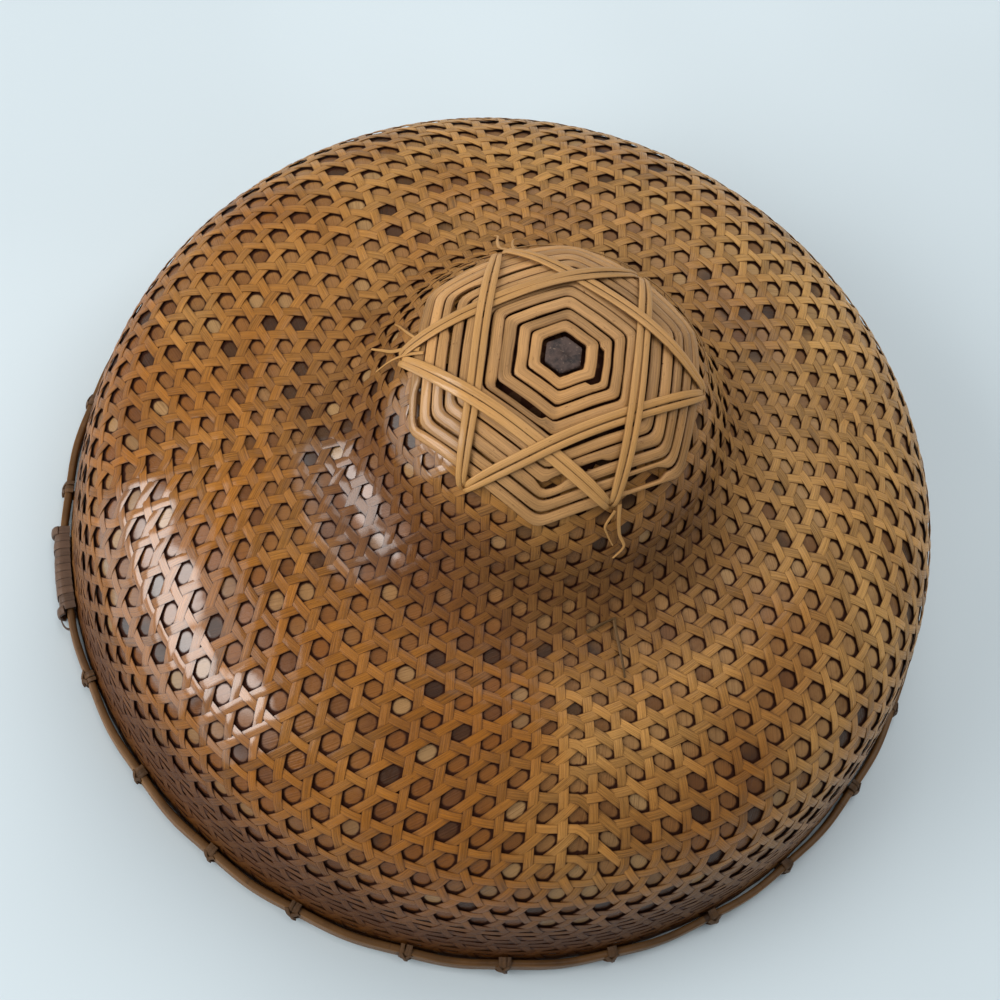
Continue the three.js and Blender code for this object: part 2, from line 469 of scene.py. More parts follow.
def crowned(width: float, thickness: float) -> Array:
    """Gives the section of a split strip: a flat back and a low crown.

    Args:
        width: the strip's width.
        thickness: its thickness, centred on the path.

    Returns:
        Six points, counter-clockwise.
    """
    half = width / 2
    rise = thickness / 2
    return np.array(
        [
            [-half, -rise],
            [half, -rise],
            [half, rise * 0.15],
            [half * 0.45, rise],
            [-half * 0.45, rise],
            [-half, rise * 0.15],
        ]
    )


def domed(width: float, thickness: float) -> Array:
    """Gives the section of a thick splint: a flat back and a rounded top.

    Args:
        width: the splint's width.
        thickness: its thickness, centred on the path.

    Returns:
        Eight points, counter-clockwise.
    """
    half = width / 2
    rise = thickness / 2
    return np.array(
        [
            [-half * 0.92, -rise],
            [half * 0.92, -rise],
            [half, -rise * 0.1],
            [half * 0.76, rise * 0.62],
            [half * 0.3, rise],
            [-half * 0.3, rise],
            [-half * 0.76, rise * 0.62],
            [-half, -rise * 0.1],
        ]
    )


def rounded(width: float, thickness: float, corners: int = 10, power: float = 0.7) -> Array:
    """Gives an oval section: a circle squared off by a power, then scaled.

    Args:
        width: across the path.
        thickness: along the up direction.
        corners: how many points.
        power: 1 for an ellipse, less for a squarer section.

    Returns:
        The points, counter-clockwise.
    """
    angle = np.arange(corners) * 2 * math.pi / corners + math.pi / corners
    wide = np.sign(np.cos(angle)) * np.abs(np.cos(angle)) ** power
    high = np.sign(np.sin(angle)) * np.abs(np.sin(angle)) ** power
    return np.stack([wide * width / 2, high * thickness / 2], axis=1)


class Shader:
    """Places and links the nodes of one shader tree."""

    def __init__(self, tree: bpy.types.NodeTree) -> None:
        """Keeps the tree that the nodes go into."""
        self.tree = tree

    def add(self, kind: str, **settings: object) -> bpy.types.Node:
        """Adds a node.

        Args:
            kind: the node's type name.
            settings: attributes to set on it.

        Returns:
            The new node.
        """
        node = self.tree.nodes.new(kind)
        for name, value in settings.items():
            setattr(node, name, value)
        return node

    def feed(self, socket: bpy.types.NodeSocket, value: object) -> None:
        """Links a socket to an input, or sets a plain value on it.

        Args:
            socket: the input.
            value: an output socket, a number or a tuple.
        """
        if isinstance(value, bpy.types.NodeSocket):
            self.tree.links.new(value, socket)
        else:
            socket.default_value = value

    def maths(self, operation: str, first: object, second: object = 0.0, clamp: bool = False) -> object:
        """Adds a Math node.

        Args:
            operation: its operation.
            first: first input.
            second: second input.
            clamp: whether the result stays between 0 and 1.

        Returns:
            Its output socket.
        """
        node = self.add("ShaderNodeMath", operation=operation, use_clamp=clamp)
        self.feed(node.inputs[0], first)
        self.feed(node.inputs[1], second)
        return node.outputs[0]

    def ramp(
        self, value: object, low: float, high: float, to_low: float = 0.0, to_high: float = 1.0
    ) -> object:
        """Maps a value smoothly from one range to another, held at the ends.

        Args:
            value: what is mapped.
            low: start of its range.
            high: end of its range.
            to_low: result at the start.
            to_high: result at the end.

        Returns:
            The output socket.
        """
        node = self.add("ShaderNodeMapRange", interpolation_type="SMOOTHSTEP")
        for socket, part in zip(node.inputs, (value, low, high, to_low, to_high)):
            self.feed(socket, part)
        return node.outputs[0]

    def blend(self, factor: object, first: object, second: object, mode: str = "MIX") -> object:
        """Mixes two colours.

        Args:
            factor: the share of the second.
            first: first colour.
            second: second colour.
            mode: the blend mode.

        Returns:
            The output socket.
        """
        node = self.add("ShaderNodeMix", data_type="RGBA", blend_type=mode)
        self.feed(node.inputs[0], factor)
        self.feed(node.inputs[6], first)
        self.feed(node.inputs[7], second)
        return node.outputs[2]

    def noise(self, vector: object, scale: float, detail: float = 2.0, roughness: float = 0.5) -> object:
        """Adds a noise texture.

        Args:
            vector: its coordinates.
            scale: waves to the unit.
            detail: octaves.
            roughness: strength of each octave against the last.

        Returns:
            The value socket.
        """
        node = self.add("ShaderNodeTexNoise")
        self.feed(node.inputs["Vector"], vector)
        node.inputs["Scale"].default_value = scale
        node.inputs["Detail"].default_value = detail
        node.inputs["Roughness"].default_value = roughness
        return node.outputs["Fac"]

    def stretch(self, vector: object, scale: tuple[float, float, float]) -> object:
        """Scales coordinates by a Mapping node.

        Args:
            vector: the coordinates.
            scale: the factors.

        Returns:
            The output socket.
        """
        node = self.add("ShaderNodeMapping")
        self.feed(node.inputs["Vector"], vector)
        node.inputs["Scale"].default_value = scale
        return node.outputs[0]

    def parts(self, vector: object) -> tuple[object, object, object]:
        """Splits a vector.

        Args:
            vector: the vector socket.

        Returns:
            Its X, Y and Z sockets.
        """
        node = self.add("ShaderNodeSeparateXYZ")
        self.feed(node.inputs[0], vector)
        return node.outputs[0], node.outputs[1], node.outputs[2]

    def vector(self, operation: str, first: object, second: object = (0.0, 0.0, 0.0)) -> bpy.types.Node:
        """Adds a Vector Math node.

        Args:
            operation: its operation.
            first: first input.
            second: second input.

        Returns:
            The node.
        """
        node = self.add("ShaderNodeVectorMath", operation=operation)
        self.feed(node.inputs[0], first)
        self.feed(node.inputs[1], second)
        return node

    def use(self, group: bpy.types.NodeTree, **inputs: object) -> bpy.types.NodeOutputs:
        """Adds a node group.

        Args:
            group: the group.
            inputs: what goes into its sockets, by name.

        Returns:
            Its outputs.
        """
        node = self.add("ShaderNodeGroup", node_tree=group)
        for title, value in inputs.items():
            self.feed(node.inputs[title], value)
        return node.outputs

    def bump(self, height: object, distance: float, strength: float = 1.0) -> object:
        """Turns a height into a normal.

        Args:
            height: the height socket.
            distance: how high a value of 1 is, in millimetres.
            strength: the share of it that shows.

        Returns:
            The normal socket.
        """
        node = self.add("ShaderNodeBump")
        node.inputs["Strength"].default_value = strength
        node.inputs["Distance"].default_value = distance * MM
        self.feed(node.inputs["Height"], height)
        return node.outputs[0]

    def surface(self, fed: dict[str, object]) -> None:
        """Adds the material's surface and its output.

        Args:
            fed: what each of the surface's sockets gets. A socket is linked, a value is set.
        """
        surface = self.add("ShaderNodeBsdfPrincipled")
        for title, value in fed.items():
            self.feed(surface.inputs[title], value)
        self.feed(self.add("ShaderNodeOutputMaterial").inputs[0], surface.outputs[0])


def start_material(name: str) -> tuple[bpy.types.Material, Shader]:
    """Starts a material with no nodes.

    Args:
        name: its name.

    Returns:
        The material and the shader of its tree.
    """
    made = bpy.data.materials.new(name)
    made.use_nodes = True
    made.node_tree.nodes.clear()
    return made, Shader(made.node_tree)


def new_group(name: str, takes: dict[str, str], gives: dict[str, str]) -> tuple[Shader, object, object]:
    """Starts a shader node group with named sockets.

    Args:
        name: the group's name.
        takes: input names with their socket kinds.
        gives: output names with their socket kinds.

    Returns:
        The shader of the group, its input node and its output node.
    """
    group = bpy.data.node_groups.new(name, "ShaderNodeTree")
    for title, kind in takes.items():
        group.interface.new_socket(name=title, in_out="INPUT", socket_type=kind)
    for title, kind in gives.items():
        group.interface.new_socket(name=title, in_out="OUTPUT", socket_type=kind)
    shader = Shader(group)
    return shader, shader.add("NodeGroupInput"), shader.add("NodeGroupOutput")


def fibre_group() -> bpy.types.NodeTree:
    """Builds the grain of split bamboo.

    Fine streaks are noise stretched a hundredfold along the strip, and flecks are a sparser,
    shorter noise that shows only at its peaks.

    Returns:
        The node group.
    """
    takes = {"Strip": "NodeSocketVector", "Seed": "NodeSocketFloat"}
    gives = {"Streak": "NodeSocketFloat", "Fleck": "NodeSocketFloat", "Band": "NodeSocketFloat"}
    shader, taken, given = new_group("bamboo_fibre", takes, gives)
    shift = shader.add("ShaderNodeCombineXYZ")
    shader.feed(shift.inputs[2], shader.maths("MULTIPLY", taken.outputs["Seed"], 37.0))
    place = shader.vector("ADD", taken.outputs["Strip"], shift.outputs[0]).outputs[0]
    streak = shader.noise(shader.stretch(place, (0.035, 4.5, 1.0)), 1.6, 4.0, 0.65)
    fleck = shader.noise(shader.stretch(place, (0.35, 2.2, 1.0)), 1.3, 3.0, 0.6)
    band = shader.noise(shader.stretch(place, (0.02, 0.12, 1.0)), 1.0, 2.0, 0.5)
    shader.feed(given.inputs["Streak"], shader.ramp(streak, 0.28, 0.72))
    shader.feed(given.inputs["Fleck"], shader.ramp(fleck, 0.62, 0.76))
    shader.feed(given.inputs["Band"], shader.ramp(band, 0.3, 0.7))
    return shader.tree


SHINE_SPOTS: tuple[tuple[float, float, float, float], ...] = (
    # where the varnish is thick: x, y and z of the middle, and radius, in millimetres
    (-142.0, -98.0, 92.0, 24.0),
    (-124.0, -121.0, 93.0, 26.0),
    (-103.0, -143.0, 89.0, 19.0),
    (-76.0, -54.0, 125.0, 14.0),
    (-62.0, -67.0, 126.0, 17.0),
    (-48.0, -81.0, 125.0, 14.0),
    (-71.0, -154.0, 93.0, 19.0),
    (-45.0, -40.0, 168.0, 22.0),
)


@dataclass(frozen=True)
class Weathering:
    """The broad changes over the hat. Lengths here are metres, as in its materials."""

    patch_scale: float = 14.0
    fine_scale: float = 55.0
    # The foot ring and the front's depth and least share shape the painted shade round the crown's foot.
    foot_ring: tuple[float, float, float, float] = (0.058, 0.074, 0.085, 0.125)
    front_depth: float = 0.06
    front_least: float = 0.25
    warm_lean: tuple[float, float, float] = (-1.6, -2.2, 0.5)
    warm_patches: float = 1.8
    warm_range: tuple[float, float] = (-0.35, 1.15)
    grime_top: float = 0.085
    grime_full: float = 0.02
    grime_drift: float = 0.07
    # The low wall's painted shade at the front: where it starts, where it is full, and how strong.
    front_shade: tuple[float, float, float] = (-0.08, -0.17, 0.6)
    dull: tuple[float, float] = (0.05, 0.2)
    ragged: float = 0.016
    spot_edge: tuple[float, float] = (1.1, 0.85)

    def group(self) -> bpy.types.NodeTree:
        """Builds the group for warmth, grime, worn varnish and painted shade.

        Warmth falls from the left front to the right back. Grime rises towards the rim,
        broken by noise, and painted shade darkens the low wall more at the front. Shine is
        faint and patchy, and full on the charted spots. The darkening round the crown's foot,
        mostly at the front, is painted shade.

        Returns:
            The node group.
        """
        takes = {"Place": "NodeSocketVector"}
        gives = {title: "NodeSocketFloat" for title in ("Warmth", "Grime_and_shade", "Shine", "Foot_shade")}
        shader, taken, given = new_group("weathering", takes, gives)
        maths, ramp = shader.maths, shader.ramp
        place = taken.outputs["Place"]
        x, y, z = shader.parts(place)
        patch = shader.noise(place, self.patch_scale, 3.0, 0.55)
        fine = shader.noise(place, self.fine_scale, 3.0, 0.6)
        unevenness = maths("SUBTRACT", patch, 0.5)
        flat = shader.vector("MULTIPLY", place, (1.0, 1.0, 0.0)).outputs[0]
        radius = shader.vector("LENGTH", flat).outputs["Value"]
        # Painted shade in the hollow round the crown's foot, strongest at the front.
        start, full, fading, end = self.foot_ring
        ring = maths("MULTIPLY", ramp(radius, start, full), ramp(radius, end, fading))
        front = ramp(y, self.front_depth, -self.front_depth, self.front_least, 1.0)
        shader.feed(given.inputs["Foot_shade"], maths("MULTIPLY", ring, front))
        across, away, level = self.warm_lean
        lean = maths("ADD", maths("MULTIPLY", x, across), level)
        lean = maths("ADD", lean, maths("MULTIPLY", y, away))
        lean = maths("ADD", lean, maths("MULTIPLY", unevenness, self.warm_patches))
        shader.feed(given.inputs["Warmth"], ramp(lean, *self.warm_range))
        height = maths("ADD", z, maths("MULTIPLY", unevenness, self.grime_drift))
        low = ramp(height, self.grime_top, self.grime_full)
        spots = maths("ADD", maths("MULTIPLY", ramp(fine, 0.45, 0.7), 0.45), 0.6)
        # Painted shade: the low wall is darker towards the front, added to the grime near the rim.
        back, near, most = self.front_shade
        nearest = maths("MULTIPLY", low, ramp(y, back, near, 0.0, most))
        grime_and_shade = maths("ADD", maths("MULTIPLY", low, spots), nearest)
        shader.feed(given.inputs["Grime_and_shade"], maths("MINIMUM", grime_and_shade, 1.0))
        shine = ramp(patch, 0.35, 0.7, *self.dull)
        ragged = maths("MULTIPLY", maths("SUBTRACT", fine, 0.5), self.ragged)
        outer, inner = self.spot_edge
        for *middle, reach in SHINE_SPOTS:
            spot = tuple(part * MM for part in middle)
            away = maths("ADD", shader.vector("DISTANCE", place, spot).outputs["Value"], ragged)
            shine = maths("MAXIMUM", shine, ramp(away, outer * reach * MM, inner * reach * MM))
        shader.feed(given.inputs["Shine"], shine)
        return shader.tree


def hole_group() -> bpy.types.NodeTree:
    """Builds the pattern of the weave's holes on the sheet of leaf under it.

    Hole centres are two interlocked rectangular grids, each found by snapping the lattice
    position. The nearer centre gives the distance in millimetres and two random values.

    Returns:
        The node group.
    """
    takes = {"Lattice": "NodeSocketVector"}
    gives = {"Distance": "NodeSocketFloat", "Tone": "NodeSocketFloat", "Second": "NodeSocketFloat"}
    shader, taken, given = new_group("weave_holes", takes, gives)
    vector = shader.vector
    lattice = taken.outputs["Lattice"]
    cell = (LATTICE_PITCH, 2 * LATTICE_ROW, 1.0)
    half = (LATTICE_PITCH / 2, LATTICE_ROW, 0.0)
    even = vector("SNAP", vector("ADD", lattice, half).outputs[0], cell).outputs[0]
    odd = vector("ADD", vector("SNAP", lattice, cell).outputs[0], half).outputs[0]
    to_even = vector("DISTANCE", lattice, even).outputs["Value"]
    to_odd = vector("DISTANCE", lattice, odd).outputs["Value"]
    centre = shader.add("ShaderNodeMix", data_type="VECTOR")
    shader.feed(centre.inputs[0], shader.maths("GREATER_THAN", to_even, to_odd))
    shader.feed(centre.inputs[4], even)
    shader.feed(centre.inputs[5], odd)
    mirrored = vector("ABSOLUTE", centre.outputs[1]).outputs[0]
    whole = vector("ADD", vector("DIVIDE", mirrored, (*half[:2], 1.0)).outputs[0], (0.5, 0.5, 0.5))
    chance = shader.add("ShaderNodeTexWhiteNoise", noise_dimensions="3D")
    shader.feed(chance.inputs["Vector"], vector("SNAP", whole.outputs[0], (1.0, 1.0, 1.0)).outputs[0])
    parts = shader.add("ShaderNodeSeparateColor")
    shader.feed(parts.inputs[0], chance.outputs["Color"])
    shader.feed(given.inputs["Distance"], shader.maths("MINIMUM", to_even, to_odd))
    shader.feed(given.inputs["Tone"], parts.outputs[0])
    shader.feed(given.inputs["Second"], parts.outputs[1])
    return shader.tree


@dataclass(frozen=True)
class SplintFinish:
    """The look of one kind of split bamboo."""

    name: str
    warm: tuple[float, float, float]
    cool: tuple[float, float, float]
    # The colour that dirt and painted shade darken the splint towards.
    dirt_and_shade: tuple[float, float, float]
    spread: float
    roughness: float
    varnish: float
    # Share of the grime near the rim, with its painted shade.
    grime_and_shade: float
    streak: float = 0.35
    relief: float = 0.12
    edge_dirt: float = 0.3
    dip_darkening: float = 0.35
    fleck: float = 0.35
    gloss: float = 0.1
    # Share of the painted shade round the crown's foot.
    foot_shade: float = 0.0
    band: float = 0.16
    polish: float = 0.12
    dust: float = 0.2
    dulling: float = 0.7

    def material(self, fibre: bpy.types.NodeTree, weather: bpy.types.NodeTree) -> bpy.types.Material:
        """Builds the material from the shared groups.

        The colour runs from cool to warm by the weather, is lightened or darkened by the
        strand's tone, streaked along the strip, dirty at its edges, darker where it dips under
        another strip, and dirty near the rim. Painted shade darkens it at the front of the low
        wall and round the crown's foot.

        Args:
            fibre: the grain group.
            weather: the weathering group.

        Returns:
            The material.
        """
        made, shader = start_material(self.name)
        maths = shader.maths
        strip = shader.add("ShaderNodeUVMap", uv_map=STRIP_MAP).outputs[0]
        tone = shader.add("ShaderNodeAttribute", attribute_name=TONE_MAP, attribute_type="GEOMETRY")
        tones = shader.add("ShaderNodeSeparateColor")
        shader.feed(tones.inputs[0], tone.outputs["Color"])
        strand, depth, seed = (tones.outputs[channel] for channel in range(3))
        place = shader.add("ShaderNodeTexCoord").outputs["Object"]
        grain = shader.use(fibre, Strip=strip, Seed=seed)
        broad = shader.use(weather, Place=place)
        colour = shader.blend(broad["Warmth"], linear(*self.cool), linear(*self.warm))
        level = maths("ADD", maths("MULTIPLY", maths("SUBTRACT", strand, 0.5), 2 * self.spread), 1.0)
        level = maths("ADD", level, maths("MULTIPLY", grain["Band"], self.band))
        dark = maths("MULTIPLY", maths("SUBTRACT", 1.0, grain["Streak"]), self.streak)
        level = maths("SUBTRACT", level, dark)
        grey = shader.add("ShaderNodeCombineColor")
        for socket in grey.inputs[:3]:
            shader.feed(socket, level)
        colour = shader.blend(1.0, colour, grey.outputs[0], "MULTIPLY")
        across = maths("ABSOLUTE", shader.parts(strip)[1])
        edge = shader.ramp(across, 0.8, 1.0, 0.0, self.edge_dirt)
        # Darker where the depth value is high: where a strip dips under another, at the cap rings' folded
        # corners, and at the hoop's nodes and bindings.
        dip = shader.ramp(depth, 0.5, 1.0, 0.0, self.dip_darkening)
        dirt_and_shade = maths("ADD", maths("MAXIMUM", edge, dip), maths("MULTIPLY", grain["Fleck"], self.fleck))
        # Grime near the rim, with painted shade at the front of the low wall and round the crown's foot.
        rim = maths("MULTIPLY", broad["Grime_and_shade"], self.grime_and_shade)
        rim = maths("ADD", rim, maths("MULTIPLY", broad["Foot_shade"], self.foot_shade))
        dirt_and_shade = maths("ADD", dirt_and_shade, rim, True)
        rough = maths("ADD", maths("MULTIPLY", grain["Streak"], -self.polish), self.roughness)
        # The varnish dulls under the grime and the painted shade.
        clean_and_lit = maths("SUBTRACT", 1.0, maths("MULTIPLY", rim, self.dulling))
        coat = maths("MULTIPLY", maths("MULTIPLY", broad["Shine"], self.varnish), clean_and_lit)
        shader.surface(
            {
                "Base Color": shader.blend(dirt_and_shade, colour, linear(*self.dirt_and_shade)),
                "Roughness": maths("ADD", rough, maths("MULTIPLY", dirt_and_shade, self.dust), True),
                "Coat Weight": coat,
                "Coat Roughness": self.gloss,
                "Coat IOR": COAT_IOR,
                "Specular IOR Level": SPECULAR_LEVEL,
                "Normal": shader.bump(grain["Streak"], self.relief, 0.6),
            }
        )
        return made


@dataclass(frozen=True)
class LeafFinish:
    """Dry leaf under the weave: golden and brown sheets with veins, with painted shade at the holes' edges.
    """

    name: str = "dry_leaf"
    pale: tuple[float, float, float] = (0.72, 0.59, 0.40)
    golden: tuple[float, float, float] = (0.48, 0.275, 0.06)
    tan: tuple[float, float, float] = (0.70, 0.55, 0.36)
    brown: tuple[float, float, float] = (0.36, 0.21, 0.09)
    # Nearly black, painted shade where the leaf is missing.
    dark: tuple[float, float, float] = (0.12, 0.065, 0.035)
    # The dark brown of the painted shade, also used for the grime.
    shade_and_grime_colour: tuple[float, float, float] = (0.19, 0.085, 0.035)
    cap_edge: tuple[float, float] = (0.161, 0.169)
    lit_radius: float = 3.1
    dark_radius: float = 4.0
    vein_slant: float = 0.9
    soil_and_shade: float = 0.6
    varnish: float = 0.8
    gloss: float = 0.2
    relief: float = 0.4

    def material(self, holes: bpy.types.NodeTree, weather: bpy.types.NodeTree) -> bpy.types.Material:
        """Builds the leaf's material.

        Each hole of the weave shows a tone of its own, shifted by broad patches: mostly
        golden, some brown and a few pale. A few are nearly black, painted shade where the leaf
        is missing. Veins are fine slanting lines.
        Painted shade makes the leaf dark under the strips and under the cap. The tone value
        is one on the outer face and nought on the inner, which is plain leaf.

        Args:
            holes: the group that finds the holes.
            weather: the weathering group.

        Returns:
            The material.
        """
        made, shader = start_material(self.name)
        maths, ramp, blend = shader.maths, shader.ramp, shader.blend
        colours = (self.pale, self.golden, self.tan, self.brown, self.dark, self.shade_and_grime_colour)
        pale, golden, tan, brown, dark, shade_and_grime_colour = (linear(*colour) for colour in colours)
        strip = shader.add("ShaderNodeUVMap", uv_map=STRIP_MAP).outputs[0]
        face = shader.add("ShaderNodeAttribute", attribute_name=TONE_MAP, attribute_type="GEOMETRY")
        outside = face.outputs["Fac"]
        place = shader.add("ShaderNodeTexCoord").outputs["Object"]
        cells = shader.use(holes, Lattice=strip)
        aged = shader.use(weather, Place=place)
        broad = shader.noise(place, 11.0, 2.0, 0.5)
        patch = shader.noise(place, 45.0, 3.0, 0.55)
        blotch = shader.noise(place, 260.0, 3.0, 0.6)
        slant = shader.add("ShaderNodeMapping")
        shader.feed(slant.inputs["Vector"], strip)
        slant.inputs["Rotation"].default_value = (0.0, 0.0, self.vein_slant)
        vein = shader.noise(shader.stretch(slant.outputs[0], (0.05, 1.7, 1.0)), 1.0, 2.0, 0.5)
        tone = maths("ADD", maths("MULTIPLY", cells["Tone"], 0.55), maths("MULTIPLY", patch, 0.6))
        tone = maths("ADD", tone, maths("MULTIPLY", blotch, 0.35))
        colour = blend(ramp(tone, 0.6, 1.1, 0.0, 0.8), blend(aged["Warmth"], tan, golden), brown)
        colour = blend(ramp(maths("ADD", cells["Second"], broad), 1.2, 1.5, 0.0, 0.5), colour, pale)
        # Painted shade: a few holes are nearly black, standing for the dark inside where the leaf is missing.
        missing_leaf = maths("SUBTRACT", cells["Second"], broad)
        colour = blend(ramp(missing_leaf, -0.4, -0.48, 0.0, 0.8), colour, dark)
        # Grime near the rim, with its painted shade at the front, darkens the leaf too.
        colour = blend(maths("MULTIPLY", aged["Grime_and_shade"], self.soil_and_shade), colour, shade_and_grime_colour)
        plain = blend(ramp(patch, 0.25, 0.75, 0.4, 0.65), tan, brown)
        colour = blend(outside, plain, colour)
        colour = blend(ramp(vein, 0.5, 0.72, 0.0, 0.35), colour, brown)
        # Painted shade: the leaf turns dark brown under the strips round each hole, and under the cap.
        ragged = maths("ADD", cells["Distance"], maths("MULTIPLY", blotch, 0.8))
        low, high = self.cap_edge
        under_cap = ramp(shader.parts(place)[2], low, high, 0.0, 0.9)
        shade = maths("MAXIMUM", ramp(ragged, self.lit_radius, self.dark_radius), under_cap)
        shade = maths("MULTIPLY", shade, outside)
        # The varnish shows only outside the painted shade.
        clean_and_lit = maths("MULTIPLY", maths("SUBTRACT", 1.0, shade), self.varnish)
        waviness = maths("ADD", vein, maths("MULTIPLY", blotch, 1.5))
        worn = ramp(patch, 0.3, 0.7, 0.3, 0.55)
        shader.surface(
            {
                "Base Color": blend(shade, colour, shade_and_grime_colour),
                "Roughness": maths("MAXIMUM", worn, maths("MULTIPLY", shade, 0.9)),
                "Coat Weight": maths("MULTIPLY", clean_and_lit, aged["Shine"]),
                "Coat Roughness": self.gloss,
                "Coat IOR": COAT_IOR,
                "Specular IOR Level": SPECULAR_LEVEL,
                "Normal": shader.bump(waviness, self.relief, 0.8),
            }
        )
        return made


@dataclass(frozen=True)
class PlugFinish:
    """Rough dark fibre with pale flecks."""

    name: str = "plug_fibre"
    dark: tuple[float, float, float] = (0.14, 0.1, 0.09)
    mid: tuple[float, float, float] = (0.3, 0.23, 0.2)
    pale: tuple[float, float, float] = (0.5, 0.42, 0.36)
    roughness: float = 0.7
    relief: float = 0.6

    def material(self) -> bpy.types.Material:
        """Builds the plug's material from two sizes of noise.

        Returns:
            The material.
        """
        made, shader = start_material(self.name)
        place = shader.add("ShaderNodeTexCoord").outputs["Object"]
        coarse = shader.noise(place, 260.0, 4.0, 0.65)
        fine = shader.noise(place, 900.0, 3.0, 0.6)
        colour = shader.blend(shader.ramp(coarse, 0.35, 0.65), linear(*self.dark), linear(*self.mid))
        colour = shader.blend(shader.ramp(fine, 0.6, 0.7, 0.0, 0.8), colour, linear(*self.pale))
        normal = shader.bump(coarse, self.relief)
        shader.surface({"Base Color": colour, "Roughness": self.roughness, "Normal": normal})
        return made


